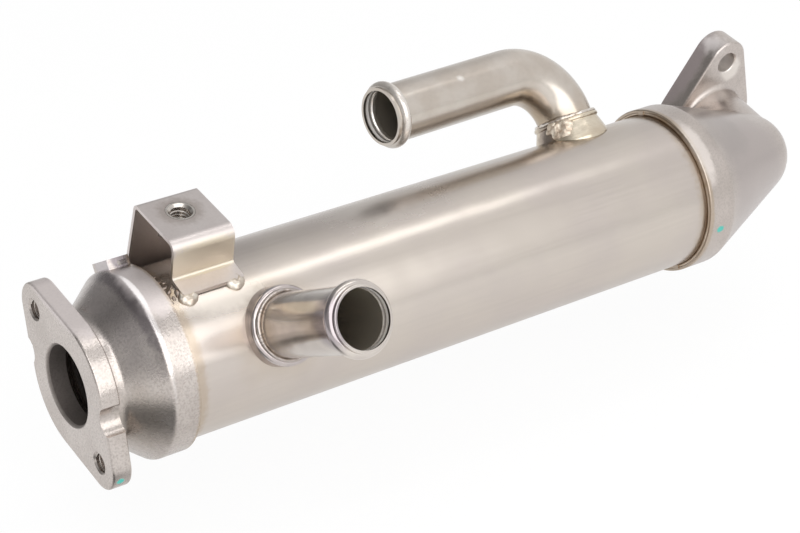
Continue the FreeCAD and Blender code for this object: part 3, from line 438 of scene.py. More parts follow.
OUTLET_CAST = Metal(
    "cast_stainless_outlet", (0.525, 0.472, 0.44), (0.48, 0.43, 0.397), wander=16.0, roughness=0.30,
    swing=0.08, grain_size=0.7, grain_depth=0.04, speckle=0.28, wave_size=16.0, wave_depth=0.10,
    stains_and_painted_light=(
        # painted shade inside the outlet's port
        StainAndPaintedLight((309.0, 30.0, 0.0), (14.3, 14.3, 26.0), BORE_PAINTED_SHADE, 0.9, 0.03, roughness=0.6, axis=ALONG_Y),
        StainAndPaintedLight((255.2, 0.0, 0.0), (80.0, 80.0, 1.3), HEAT_TAN, 0.5, 0.4, axis=ALONG_X),
        StainAndPaintedLight((287.0, -14.0, 4.0), (23.0, 26.0, 30.0), (0.42, 0.375, 0.36), 0.85, 0.25),
        StainAndPaintedLight((298.0, 38.0, 23.0), (15.0, 6.0, 19.0), (0.33, 0.28, 0.28), 0.9, 0.3, metallic=0.5,
              roughness=0.42),
        # painted reflection: pale inner wall of an ear's bolt hole
        StainAndPaintedLight((305.8, 33.5, 35.4), (4.4, 4.6, 3.2), (0.80, 0.75, 0.74), 0.6, 0.7, metallic=0.4,
              roughness=0.42),
        StainAndPaintedLight((257.5, -15.0, 27.0), (3.0, 14.0, 11.0), (0.72, 0.66, 0.62), 0.65, 0.35, metallic=0.5,
              roughness=0.42),
        StainAndPaintedLight((276.0, -9.0, 26.0), (13.0, 12.0, 8.0), (0.36, 0.325, 0.31), 0.6, 0.4),
        StainAndPaintedLight((304.0, 26.0, 16.5), (7.0, 5.0, 4.0), (0.62, 0.56, 0.52), 0.6, 0.4, metallic=0.5,
              roughness=0.45),
        StainAndPaintedLight((314.0, 32.0, 24.0), (5.5, 8.0, 5.5), (0.75, 0.70, 0.65), 0.7, 0.2, metallic=0.5,
              roughness=0.4),
        StainAndPaintedLight((260.3, -32.3, 1.2), (1.7, 1.3, 1.3), TEAL_PAINT, 1.0, 0.3, metallic=0.0,
              roughness=0.45)))
SHELL = Metal(
    "shell_stainless", (0.565, 0.512, 0.462), (0.535, 0.482, 0.445), wander=30.0, roughness=0.26,
    swing=0.05, grain_size=0.9, grain_depth=0.008, grain=Grain.ALONG_SHELL, speckle=0.06,
    wave_size=22.0, wave_depth=0.30,
    stains_and_painted_light=(
        StainAndPaintedLight((33.2, 0.0, 0.0), (80.0, 80.0, 2.6), HEAT_TAN, 0.45, 0.5, axis=ALONG_X),
        StainAndPaintedLight((254.0, 0.0, 0.0), (80.0, 80.0, 2.6), HEAT_TAN, 0.4, 0.8, axis=ALONG_X),
        StainAndPaintedLight((254.2, 0.0, 0.0), (80.0, 80.0, 0.9), HEAT_BROWN, 0.4, 0.9, axis=ALONG_X),
        StainAndPaintedLight((64.9, -24.0, 18.5), (17.5, 17.0, 17.0), HEAT_TAN, 0.25, 0.35),
        StainAndPaintedLight((225.2, 21.2, 21.2), (18.5, 17.0, 17.0), HEAT_TAN, 0.35, 0.35),
        # painted highlight on the shell below the bracket
        StainAndPaintedLight((50.5, -12.5, 27.3), (12.0, 4.5, 3.5), (0.74, 0.68, 0.61), 0.7, 0.5, metallic=0.8,
              roughness=0.36),
        StainAndPaintedLight((125.9, 6.9, 29.2), (17.0, 7.5, 5.5), (0.62, 0.57, 0.53), 0.6, 0.95, metallic=0.85,
              roughness=0.38)))
STRAIGHT_PIPE = Metal(
    "straight_pipe_stainless", (0.62, 0.57, 0.525), (0.55, 0.50, 0.465), wander=11.0,
    roughness=0.20, swing=0.08, grain_size=1.2, grain_depth=0.006, speckle=0.06, wave_size=9.0,
    wave_depth=0.14,
    stains_and_painted_light=(
        StainAndPaintedLight((59.0, -58.0, 47.5), (9.0, 9.0, 9.0), (0.34, 0.30, 0.32), 0.8, 0.4),
        # painted light on the inner wall just inside the straight pipe's mouth
        StainAndPaintedLight((69.5, -60.1, 46.1), (11.0, 11.0, 3.6), MOUTH_PAINTED_LIGHT, 1.0, 0.04, metallic=0.25,
              roughness=0.4, axis=STRAIGHT_WAY),
        StainAndPaintedLight((68.2, -43.2, 33.1), (10.45, 10.45, 70.0), INNER_PALE, 1.0, 0.01, metallic=0.75,
              roughness=INNER_GLOSS, axis=STRAIGHT_WAY),
        StainAndPaintedLight((66.6, -27.0, 20.5), (16.0, 9.0, 9.0), HEAT_TAN, 0.4, 0.4)))
BENT_PIPE = Metal(
    "bent_pipe_stainless", (0.56, 0.512, 0.462), (0.51, 0.455, 0.40), wander=13.0, roughness=0.25,
    swing=0.08, grain_size=1.2, grain_depth=0.006, speckle=0.06, wave_size=12.0, wave_depth=0.12,
    stains_and_painted_light=(
        # painted light on the rolled bead behind the bent pipe's mouth
        StainAndPaintedLight((146.4, 35.3, 44.05), (15.0, 15.0, 2.8), (0.70, 0.66, 0.62), 0.7, 0.2, metallic=0.6,
              axis=BENT_WAY),
        # painted light on the inner wall just inside the bent pipe's mouth
        StainAndPaintedLight((145.8, 35.2, 44.1), (10.6, 10.6, 3.6), MOUTH_PAINTED_LIGHT, 1.0, 0.04, metallic=0.25,
              roughness=0.4, axis=BENT_WAY),
        StainAndPaintedLight((167.1, 36.8, 43.3), (10.15, 10.15, 70.0), INNER_STEEL, 1.0, 0.01, metallic=0.75,
              roughness=INNER_GLOSS, axis=BENT_WAY),
        StainAndPaintedLight((225.0, 25.0, 25.0), (16.0, 11.0, 11.0), HEAT_TAN, 0.5, 0.4),
        StainAndPaintedLight((206.0, 30.0, 30.0), (11.0, 9.0, 9.0), HEAT_TAN, 0.45, 0.5),
        StainAndPaintedLight((176.4, 33.3, 52.8), (1.3, 1.1, 1.1), (0.85, 0.82, 0.79), 0.6, 0.7)))
COLLAR = Metal(
    "collar_stainless", (0.53, 0.475, 0.455), (0.43, 0.385, 0.38), wander=6.0, roughness=0.20,
    swing=0.10, grain_size=0.8, grain_depth=0.010, wave_size=5.0, wave_depth=0.16)
# painted light: the lining inside each rolled bead is paler and less metallic than the pipes, so it
# reads lit
MOUTH_ROLL_PAINTED_LIGHT = Metal(
    "mouth_roll_painted_light", (0.82, 0.78, 0.74), (0.72, 0.68, 0.64), wander=5.0, roughness=0.22,
    swing=0.08, grain_size=0.8, grain_depth=0.006, metallic=0.75)
BENT_COLLAR = Metal(
    "bent_collar_stainless", (0.63, 0.56, 0.455), (0.54, 0.46, 0.355), wander=6.0, roughness=0.24,
    swing=0.10, grain_size=0.8, grain_depth=0.010, wave_size=5.0, wave_depth=0.22,
    stains_and_painted_light=(
        # painted shade of creases on the collar's left side
        StainAndPaintedLight((212.3, 21.0, 25.2), (3.5, 4.5, 6.0), (0.24, 0.19, 0.17), 0.75, 0.5),))
WELD = Metal(
    "weld_metal", (0.64, 0.59, 0.54), (0.50, 0.43, 0.365), wander=2.4, roughness=0.20, swing=0.14,
    grain_size=0.7, grain_depth=0.02, wave_size=2.5, wave_depth=0.10,
    stains_and_painted_light=(
        StainAndPaintedLight((67.0, -26.7, 20.5), (16.0, 16.0, 5.0), (0.34, 0.30, 0.285), 0.7, 0.2,
              axis=STRAIGHT_WAY),))
TACK = Metal(
    "tack_metal", (0.64, 0.585, 0.515), (0.50, 0.43, 0.36), wander=2.8, roughness=0.36, swing=0.16,
    grain_size=0.7, grain_depth=0.03, wave_size=2.5, wave_depth=0.12)
PATCH = Metal(
    "patch_weld_metal", (0.76, 0.68, 0.57), (0.50, 0.40, 0.31), wander=2.2, roughness=0.38,
    swing=0.12, grain_size=0.6, grain_depth=0.03, wave_size=2.0, wave_depth=0.14, metallic=0.75)
SPATTER = Metal(
    "weld_spatter", (0.40, 0.34, 0.30), (0.18, 0.13, 0.10), wander=1.6, roughness=0.30, swing=0.2,
    grain_size=0.5, grain_depth=0.04)
BRAZE = Metal(
    "braze_metal", (0.58, 0.50, 0.42), (0.47, 0.38, 0.29), wander=4.0, roughness=0.34, swing=0.2,
    grain_size=0.8, grain_depth=0.03)
BRACKET = Metal(
    "bracket_stainless", (0.64, 0.59, 0.57), (0.60, 0.545, 0.525), wander=12.0, roughness=0.40,
    swing=0.08, grain_size=0.9, grain_depth=0.010, speckle=0.08, wave_size=12.0, wave_depth=0.08,
    stains_and_painted_light=(
        StainAndPaintedLight((48.8, 15.2, 45.2), (7.4, 7.0, 2.5), (0.33, 0.28, 0.245), 0.55, 0.3),
        StainAndPaintedLight((50.0, -1.0, 36.0), (16.0, 1.6, 9.0), (0.70, 0.63, 0.51), 0.9, 0.3),
        StainAndPaintedLight((50.0, -6.5, 30.0), (16.0, 4.5, 3.0), HEAT_TAN, 0.15, 0.4)))
NUT = Metal(
    "nut_steel", (0.58, 0.545, 0.51), (0.46, 0.42, 0.385), wander=3.0, roughness=0.24, swing=0.14,
    grain_size=0.5, grain_depth=0.02)
BUNDLE = Metal(
    "bundle_stainless", (0.20, 0.165, 0.14), (0.12, 0.095, 0.08), wander=5.0, roughness=0.45,
    swing=0.2, grain_size=0.6, grain_depth=0.03, metallic=0.4)


# Modelling by hand, in code
def switch(mode: str) -> None:
    """Put the active object in a mode."""
    bpy.ops.object.mode_set(mode=mode)


def deselect() -> None:
    """Leave nothing selected or in edit mode."""
    if bpy.context.object and bpy.context.object.mode != "OBJECT":
        switch("OBJECT")
    bpy.ops.object.select_all(action="DESELECT")


def activate(piece: bpy.types.Object) -> None:
    """Make one object the only selected one.

    Args:
        piece: the object.
    """
    deselect()
    bpy.context.view_layer.objects.active = piece
    piece.select_set(True)


def apply_modifier(piece: bpy.types.Object, kind: str, **settings: object) -> None:
    """Add a modifier and apply it.

    Args:
        piece: the object.
        kind: the modifier's type.
        settings: its properties.
    """
    activate(piece)
    modifier = piece.modifiers.new(kind.lower(), kind)
    for name, value in settings.items():
        setattr(modifier, name, value)
    bpy.ops.object.modifier_apply(modifier=modifier.name)


def cloud(name: str, size: float) -> bpy.types.Texture:
    """A cloud texture for lumpy metal.

    Args:
        name: its name.
        size: the size of its features in millimetres.

    Returns:
        The new texture.
    """
    texture = bpy.data.textures.new(name, "CLOUDS")
    texture.noise_scale = size * MM
    texture.noise_depth = 1
    return texture


def tidy_mesh(piece: bpy.types.Object) -> None:
    """Merge doubles and turn every face outwards.

    Args:
        piece: the object.
    """
    activate(piece)
    switch("EDIT")
    bpy.ops.mesh.select_all(action="SELECT")
    bpy.ops.mesh.remove_doubles(threshold=MERGE_DISTANCE * MM)
    bpy.ops.mesh.normals_make_consistent(inside=False)
    switch("OBJECT")


def settle(piece: bpy.types.Object, name: str, place: Matrix, metal: bpy.types.Material,
           replaced: Sequence[str] = ()) -> None:
    """Put a finished mesh in its place in the frame, dress it, and let it ride on the body.

    Args:
        piece: the object, modelled round its own origin.
        name: its name.
        place: its place in the frame, in metres.
        metal: its material.
        replaced: CAD nodes that it stands for.
    """
    activate(piece)
    bpy.ops.object.transform_apply(location=True, rotation=True, scale=True)
    piece.data.transform(place)
    piece.name = name
    piece.data.materials.clear()
    piece.data.materials.append(metal)
    bpy.ops.object.shade_smooth_by_angle(angle=math.radians(SMOOTH_ANGLE))
    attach(piece, "root")
    if replaced:
        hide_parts(*replaced)
    log.info("%s: %d faces", name, len(piece.data.polygons))


def axis_place(centre: Triple, axis: Triple) -> Matrix:
    """The place of a piece that is modelled along Z.

    Args:
        centre: where its origin goes, in millimetres.
        axis: where its Z points.

    Returns:
        The placement in metres.
    """
    turn = Vector(axis).to_track_quat("Z", "Y").to_matrix().to_4x4()
    return Matrix.Translation(Vector(centre) * MM) @ turn


def move_where(piece: bpy.types.Object, chosen: Callable[[Vector], bool],
               move: Callable[[], object]) -> None:
    """Move the vertices that a test picks.

    Args:
        piece: the object.
        chosen: says of a vertex's place whether it moves.
        move: the edit-mode operator that moves the selection.
    """
    activate(piece)
    for group in (piece.data.edges, piece.data.polygons):
        group.foreach_set("select", [False] * len(group))
    for corner in piece.data.vertices:
        corner.select = chosen(corner.co)
    switch("EDIT")
    bpy.ops.mesh.select_mode(type="VERT")
    move()
    switch("OBJECT")


def fatten(piece: bpy.types.Object, turn: float, width: float, amount: float) -> None:
    """Swell the part of a ring that lies within a small angle of a direction.

    Args:
        piece: the ring, about Z.
        turn: the direction's angle in degrees.
        width: the angle to each side in degrees.
        amount: how far its faces move out, in millimetres.
    """
    def near(spot: Vector) -> bool:
        """Whether a place lies within the angle."""
        off = math.degrees(math.atan2(spot.y, spot.x)) - turn
        return abs((off + 180.0) % 360.0 - 180.0) <= width

    move_where(piece, near, lambda: bpy.ops.transform.shrink_fatten(value=amount * MM))


@dataclass(frozen=True)
class ThreadRidge:
    """The helical ridge of an inside thread. Lengths in millimetres.

    The flank is the radius of its three-sided section, as a share of its height, and the steps
    are the parts of one turn.
    """

    bore: float
    pitch: float
    length: float
    height: float = 0.35
    flank: float = 0.8
    steps: int = 28

    def build(self) -> bpy.types.Object:
        """Model the ridge along Z from 0 to its length.

        Returns:
            The closed helix.
        """
        deselect()
        bpy.ops.mesh.primitive_circle_add(
            vertices=3, radius=self.height * self.flank * MM, fill_type="NOTHING",
            location=(0.0, 0.0, 0.0), rotation=(math.radians(90.0), math.radians(-90.0), 0.0))
        ridge = bpy.context.object
        bpy.ops.object.transform_apply(location=True, rotation=True, scale=True)
        inner = min(corner.co.x for corner in ridge.data.vertices)
        ridge.data.transform(Matrix.Translation(((self.bore - self.height) * MM - inner, 0.0, 0.0)))
        turns = max(1, int((self.length - self.height * 2.0) / self.pitch))
        apply_modifier(ridge, "SCREW", axis="Z", angle=math.tau, screw_offset=self.pitch * MM,
                       iterations=turns, steps=self.steps, render_steps=self.steps,
                       use_smooth_shade=True)
        activate(ridge)
        switch("EDIT")
        bpy.ops.mesh.select_all(action="SELECT")
        bpy.ops.mesh.fill_holes(sides=4)
        switch("OBJECT")
        tidy_mesh(ridge)
        return ridge


@dataclass(frozen=True)
class WeldBead:
    """A rippled bead of weld round a pipe. Lengths in millimetres and angles in degrees.

    The patch is where it was closed, swollen by passes whose widths are patch_shares of its
    own. Each ripple has as many parts as steps: half of them swell, each less by fade.
    """

    radius: float
    roll: float
    ripples: int
    swell: float
    lumps: float
    patch_at: float = 0.0
    patch_width: float = 1.0
    patch_swell: float = 0.0
    lump_size: float = 2.6
    steps: int = 6
    sides: int = 12
    fade: float = 0.25
    patch_shares: Tuple[float, ...] = (1.0, 0.8, 0.6, 0.4)

    def build(self) -> bpy.types.Object:
        """Model the bead about Z, with overlapping ripples and a thicker patch.

        Returns:
            The closed ring.
        """
        deselect()
        parts = self.ripples * self.steps
        bpy.ops.mesh.primitive_torus_add(
            major_radius=self.radius * MM, minor_radius=self.roll * MM, major_segments=parts,
            minor_segments=self.sides, location=(0.0, 0.0, 0.0))
        bead = bpy.context.object
        for ripple in range(self.ripples):
            turn = 360.0 * ripple / self.ripples
            for step in range(1, self.steps // 2 + 1):
                fatten(bead, turn + 360.0 * step / parts, 180.0 / parts,
                       self.swell * (1.0 - self.fade * step))
        for share in self.patch_shares:
            fatten(bead, self.patch_at, self.patch_width * share,
                   self.patch_swell / len(self.patch_shares))
        apply_modifier(bead, "DISPLACE", texture=cloud("weld_lumps", self.lump_size),
                       strength=self.lumps * MM, mid_level=0.5, texture_coords="LOCAL")
        apply_modifier(bead, "SUBSURF", levels=1, render_levels=1)
        tidy_mesh(bead)
        return bead


@dataclass(frozen=True)
class MouthRoll:
    """The inside of the rolled bead behind a pipe's mouth. Lengths in millimetres.

    The slacks say how far past the bore its edges and its inner wall are looked for. Each pass
    of dish has its reach, as a share of half the length, and its share of the dip.
    """

    bore: float
    half: float = 0.99
    depth: float = 1.6
    dip: float = 0.45
    sides: int = 96
    cuts: int = 3
    edge_slack: float = 0.1
    wall_slack: float = 0.7
    dish: Tuple[Tuple[float, float], ...] = ((0.7, 0.75), (0.2, 0.25))

    def build(self) -> bpy.types.Object:
        """Model the hollow's lining about Z, dished between its two edges.

        Returns:
            The closed ring.
        """
        deselect()
        bpy.ops.mesh.primitive_cylinder_add(
            vertices=self.sides, radius=(self.bore + self.depth) * MM, depth=2.0 * self.half * MM,
            end_fill_type="NGON", location=(0.0, 0.0, 0.0))
        ring = bpy.context.object
        activate(ring)
        switch("EDIT")
        bpy.ops.mesh.select_mode(type="FACE")
        bpy.ops.mesh.select_all(action="DESELECT")
        switch("OBJECT")
        for face in ring.data.polygons:
            face.select = abs(face.normal.z) > FACING
        switch("EDIT")
        bpy.ops.mesh.inset(thickness=self.depth * MM)
        bpy.ops.mesh.delete(type="FACE")
        switch("OBJECT")
        limit = (self.bore + self.edge_slack) * MM
        for edge in ring.data.edges:
            ends = [ring.data.vertices[index].co for index in edge.vertices]
            edge.select = all(math.hypot(end.x, end.y) < limit for end in ends)
        switch("EDIT")
        bpy.ops.mesh.select_mode(type="EDGE")
        bpy.ops.mesh.bridge_edge_loops(number_cuts=self.cuts)
        limit = (self.bore + self.wall_slack) * MM
        for reach, share in self.dish:
            grow = 1.0 + share * self.dip / self.bore
            move_where(ring, lambda spot: math.hypot(spot.x, spot.y) < limit
                       and abs(spot.z) < reach * self.half * MM,
                       lambda: bpy.ops.transform.resize(value=(grow, grow, 1.0)))
        tidy_mesh(ring)
        return ring


@dataclass(frozen=True)
class WeldDrop:
    """A drop of weld metal that has run down and spread. Lengths in millimetres.

    The seed is its place in the noise, so that no two are alike. The lumps, the front's start
    and its sag are shares of the width. The dimple's start is a share of the height, and its
    half width one of the width.
    """

    width: float
    length: float
    height: float
    run: float
    hollow: float
    seed: float
    lumps: float = 0.14
    lump_size: float = 2.2
    front: float = 0.2
    sag: float = 0.12
    dimple: Tuple[float, float] = (0.3, 0.22)
    segments: int = 20
    rings: int = 12

    def build(self) -> bpy.types.Object:
        """Model the drop on Z, running along X, with a dimple in its top.

        Returns:
            The closed drop.
        """
        deselect()
        bpy.ops.mesh.primitive_uv_sphere_add(
            segments=self.segments, ring_count=self.rings, radius=0.5 * self.width * MM,
            location=(0.0, 0.0, 0.0))
        drop = bpy.context.object
        move_where(drop, lambda spot: spot.x > self.front * self.width * MM,
                   lambda: bpy.ops.transform.translate(
                       value=(self.run * MM, 0.0, -self.sag * self.width * MM)))
        move_where(drop, lambda spot: True, lambda: bpy.ops.transform.resize(
            value=(self.length / (self.width + self.run), 1.0, self.height / self.width)))
        if self.hollow:
            start, half = self.dimple
            move_where(drop, lambda spot: spot.z > start * self.height * MM
                       and abs(spot.y) < half * self.width * MM,
                       lambda: bpy.ops.transform.translate(value=(0.0, 0.0, -self.hollow * MM)))
        apply_modifier(drop, "SUBSURF", levels=1, render_levels=1)
        drop.data.transform(Matrix.Translation((self.seed * MM, 0.0, 0.0)))
        apply_modifier(drop, "DISPLACE", texture=cloud("drop_lumps", self.lump_size),
                       strength=self.lumps * self.width * MM, mid_level=0.5,
                       texture_coords="LOCAL")
        drop.data.transform(Matrix.Translation((-self.seed * MM, 0.0, 0.0)))
        tidy_mesh(drop)
        return drop


def radial_place(turn: float, rise: float, reach: float) -> Matrix:
    """The place of a piece on the side of a round part about Z, modelled on Z.

    Args:
        turn: its angle about the part's axis, in degrees.
        rise: its distance along the axis, in millimetres.
        reach: its distance from the axis, in millimetres.

    Returns:
        The placement in metres, with the piece's X running down the part.
    """
    angle = math.radians(turn)
    out = Vector((math.cos(angle), math.sin(angle), 0.0))
    down = Vector((0.0, 0.0, -1.0))
    frame = Matrix((down, out.cross(down), out)).transposed().to_4x4()
    return Matrix.Translation((out * reach + Vector((0.0, 0.0, rise))) * MM) @ frame


def shell_place(x: float, angle: float, lift: float, heading: float = 0.0) -> Matrix:
    """The place of a piece that lies on the shell, modelled on Z.

    Args:
        x: its distance along the shell, in millimetres.
        angle: its angle above +Y round the shell, in degrees.
        lift: its origin's height above the shell's axis, in millimetres.
        heading: the angle of its X away from straight down the shell's front, in degrees.

    Returns:
        The placement in metres.
    """
    turn, swing = math.radians(angle), math.radians(heading)
    out = Vector((0.0, math.cos(turn), math.sin(turn)))
    round_it = Vector((0.0, -math.sin(turn), math.cos(turn)))
    run = round_it * math.cos(swing) + Vector(ALONG_X) * math.sin(swing)
    frame = Matrix((run, out.cross(run), out)).transposed().to_4x4()
    return Matrix.Translation((Vector((x, 0.0, 0.0)) + out * lift) * MM) @ frame


# The cooler's sub-assemblies
@dataclass
class Dresser:
    """Puts finishes on CAD nodes and keeps one material for each finish."""

    nodes: Mapping[str, bpy.types.Object]
    made: Dict[str, bpy.types.Material] = field(default_factory=dict)

    def material(self, metal: Metal) -> bpy.types.Material:
        """The material of a finish, made at its first use.

        Args:
            metal: the finish.

        Returns:
            Its one material.
        """
        if metal.name not in self.made:
            self.made[metal.name] = metal.material()
        return self.made[metal.name]

    def dress(self, metal: Metal, *names: str) -> None:
        """Give CAD nodes a finish.

        Args:
            metal: the finish.
            names: the nodes' names.
        """
        for name in names:
            materials = self.nodes[name].data.materials
            if not materials:
                materials.append(self.material(metal))
            for index in range(len(materials)):
                materials[index] = self.material(metal)
        log.info("%s on %s", metal.name, ", ".join(names))


@dataclass
class Castings:
    """The cast gas inlet and outlet, with the threads in the inlet's ears.

    Lengths are in millimetres, and bolt_angle is in degrees from Y.
    """

    bolt_circle: float = 55.5
    bolt_angle: float = 33.0
    bore: float = 3.4
    pitch: float = 1.25
    start: float = 0.7
    length: float = 5.8

    def build(self, dresser: Dresser) -> None:
        """Dress both castings and lay the ridges of threads in the inlet's holes.

        Args:
            dresser: makes and keeps the materials.
        """
        dresser.dress(INLET_CAST, "inlet_casting")
        dresser.dress(OUTLET_CAST, "outlet_casting")
        for number, way in enumerate((1.0, -1.0), 1):
            angle = math.radians(self.bolt_angle)
            reach = way * self.bolt_circle / 2.0
            ridge = ThreadRidge(self.bore, self.pitch, self.length).build()
            start = (self.start, reach * math.cos(angle), reach * math.sin(angle))
            settle(ridge, f"inlet_thread_{number}", axis_place(start, ALONG_X),
                   dresser.material(NUT))


@dataclass
class CoreAndShell:
    """The shell tube, the bundle inside it and the braze at its ends. In millimetres."""

    baffles: int = 3
    tubes: int = 19
    braze: WeldBead = WeldBead(radius=30.62, roll=0.78, ripples=48, swell=0.03, lumps=0.16)
    braze_x: float = 255.4

    def build(self, dresser: Dresser) -> None:
        """Dress the shell, the bundle and the braze rings.

        Args:
            dresser: makes and keeps the materials.
        """
        dresser.dress(SHELL, "shell_tube")
        dresser.dress(BRAZE, "inlet_braze_ring")
        settle(self.braze.build(), "outlet_braze_fill",
               axis_place((self.braze_x, 0.0, 0.0), ALONG_X),
               dresser.material(BRAZE), ["outlet_braze_ring"])
        dresser.dress(BUNDLE, "inlet_tube_sheet", "outlet_tube_sheet",
                      *(f"baffle_{number}" for number in range(1, self.baffles + 1)),
                      *(f"gas_tube_{number:02d}" for number in range(1, self.tubes + 1)))


@dataclass
class CoolantPipes:
    """The straight and the bent coolant pipe, with their collars and welds.

    In millimetres. A rise is a distance along a pipe's axis from its foot on the shell's axis,
    and an end is the middle of a mouth. Each of bent_patches has its angle, rise and distance.
    """

    straight_foot: Triple = (65.0, 0.0, 0.0)
    straight_weld: WeldBead = WeldBead(
        radius=11.6, roll=0.75, ripples=36, swell=0.01, lumps=0.30, patch_at=165.0,
        patch_width=30.0, patch_swell=0.45)
    straight_weld_rise: float = 33.7
    bent_foot: Triple = (225.2, 0.0, 0.0)
    bent_up: Triple = (0.0, 0.7071, 0.7071)
    bent_weld: WeldBead = WeldBead(
        radius=11.45, roll=0.75, ripples=40, swell=0.04, lumps=0.45, patch_at=37.0,
        patch_width=38.0, patch_swell=0.35)
    bent_weld_rise: float = 36.6
    bent_patches: Tuple[Tuple[float, float, float, WeldDrop], ...] = (
        (42.0, 32.2, 12.3, WeldDrop(8.6, 7.6, 3.4, 0.4, 0.4, 2.3, 0.10)),
        (27.0, 34.4, 12.0, WeldDrop(5.4, 4.6, 2.4, 0.2, 0.0, 5.1, 0.08)),
        (54.0, 34.0, 12.0, WeldDrop(5.0, 4.6, 2.4, 0.2, 0.0, 9.4, 0.08)),
        (32.0, 30.6, 12.8, WeldDrop(4.6, 4.2, 2.6, 0.3, 0.0, 2.6, 0.10)),
        (46.0, 30.6, 12.9, WeldDrop(5.2, 5.0, 2.6, 0.3, 0.0, 7.7, 0.08)),
        (19.0, 33.0, 12.0, WeldDrop(4.2, 3.4, 2.2, 0.2, 0.0, 4.2, 0.08)))
    bent_run_end: Triple = (143.17, 35.04, 44.17)
    straight_end: Triple = (69.66, -62.17, 47.70)
    roll_depth: float = 3.3
    straight_roll: MouthRoll = MouthRoll(bore=10.0)
    bent_roll: MouthRoll = MouthRoll(bore=9.7)

    def build(self, dresser: Dresser) -> None:
        """Dress the pipes and collars, weld them on and line their mouths.

        Args:
            dresser: makes and keeps the materials.
        """
        dresser.dress(STRAIGHT_PIPE, "straight_coolant_pipe")
        dresser.dress(BENT_PIPE, "bent_coolant_pipe")
        dresser.dress(COLLAR, "straight_pipe_collar")
        dresser.dress(BENT_COLLAR, "bent_pipe_collar")
        welds = (
            ("straight_pipe_weld", self.straight_weld, self.straight_foot, STRAIGHT_WAY,
             self.straight_weld_rise),
            ("bent_pipe_weld", self.bent_weld, self.bent_foot, self.bent_up,
             self.bent_weld_rise))
        for node, weld, foot, way, rise in welds:
            place = axis_place(foot, way) @ Matrix.Translation((0.0, 0.0, rise * MM))
            settle(weld.build(), f"{node}_bead", place, dresser.material(WELD),
                   [node])
        for number, (turn, rise, reach, patch) in enumerate(self.bent_patches, 1):
            place = axis_place(self.bent_foot, self.bent_up) @ radial_place(turn, rise, reach)
            settle(patch.build(), f"bent_weld_patch_{number}", place, dresser.material(PATCH))
        mouths = (
            ("straight_mouth_roll", self.straight_roll, self.straight_end, STRAIGHT_WAY),
            ("bent_mouth_roll", self.bent_roll, self.bent_run_end, BENT_WAY))
        for name, roll, end, way in mouths:
            place = axis_place(end, way) @ Matrix.Translation((0.0, 0.0, -self.roll_depth * MM))
            # the linings carry the pale finish of painted light
            settle(roll.build(), name, place, dresser.material(MOUTH_ROLL_PAINTED_LIGHT))


@dataclass
class Bracket:
    """The pressed bracket with its weld nut, tack welds and weld spatter.

    In millimetres. Places hold the distance along the shell, the angle, and the height above
    the axis or the drop's width. The shares give a drop's length, height and run by its width.
    """

    nut_centre: Triple = (48.8, 15.2, 36.9)
    nut_bore: float = 3.4
    pitch: float = 1.25
    nut_length: float = 7.6
    tack: WeldDrop = WeldDrop(
        width=7.2, length=6.2, height=3.5, run=0.4, hollow=0.5, seed=3.0, lumps=0.10)
    tack_places: Tuple[Triple, ...] = ((39.0, 106.2, 30.4), (56.8, 105.6, 30.5))
    spatter: Tuple[Triple, ...] = (
        (33.0, 100.5, 1.9), (34.4, 97.6, 1.5), (36.9, 100.0, 2.2), (36.2, 94.6, 1.1),
        (34.2, 93.0, 1.5), (32.8, 90.2, 1.2), (33.6, 86.8, 1.6), (35.3, 88.9, 0.9),
        (32.9, 83.5, 1.3), (34.1, 80.2, 1.0), (33.0, 77.0, 1.3), (38.4, 102.6, 1.1),
        (34.4, 103.2, 1.2), (33.0, 106.0, 0.9), (33.1, 96.0, 1.2))
    spatter_shares: Triple = (1.6, 0.55, 0.5)
    spatter_lift: float = 0.05
    spatter_seed: float = 3.7
    spatter_turn: float = 7.0
    shell_radius: float = 30.0

    def build(self, dresser: Dresser) -> None:
        """Dress the bracket and its nut, thread the nut, and lay the tack welds and spatter.

        Args:
            dresser: makes and keeps the materials.
        """
        dresser.dress(BRACKET, "mounting_bracket")
        dresser.dress(NUT, "weld_nut")
        ridge = ThreadRidge(self.nut_bore, self.pitch, self.nut_length).build()
        settle(ridge, "nut_thread", axis_place(self.nut_centre, ALONG_Z),
               dresser.material(NUT))
        for number, (x, angle, lift) in enumerate(self.tack_places, 1):
            settle(self.tack.build(), f"tack_weld_{number}", shell_place(x, angle, lift),
                   dresser.material(TACK), ["bracket_tack_welds"])
        self.scatter(dresser)

    def scatter(self, dresser: Dresser) -> None:
        """Lay drops of spatter along the inlet rim's joint, under the bracket.

        Args:
            dresser: makes and keeps the materials.
        """
        long, high, run = self.spatter_shares
        for number, (x, angle, width) in enumerate(self.spatter, 1):
            drop = WeldDrop(width, length=width * long, height=width * high, run=width * run,
                            hollow=0.0, seed=x * self.spatter_seed + angle)
            place = shell_place(x, angle, self.shell_radius + width * self.spatter_lift,
                                angle * self.spatter_turn)
            settle(drop.build(), f"spatter_{number}", place, dresser.material(SPATTER))


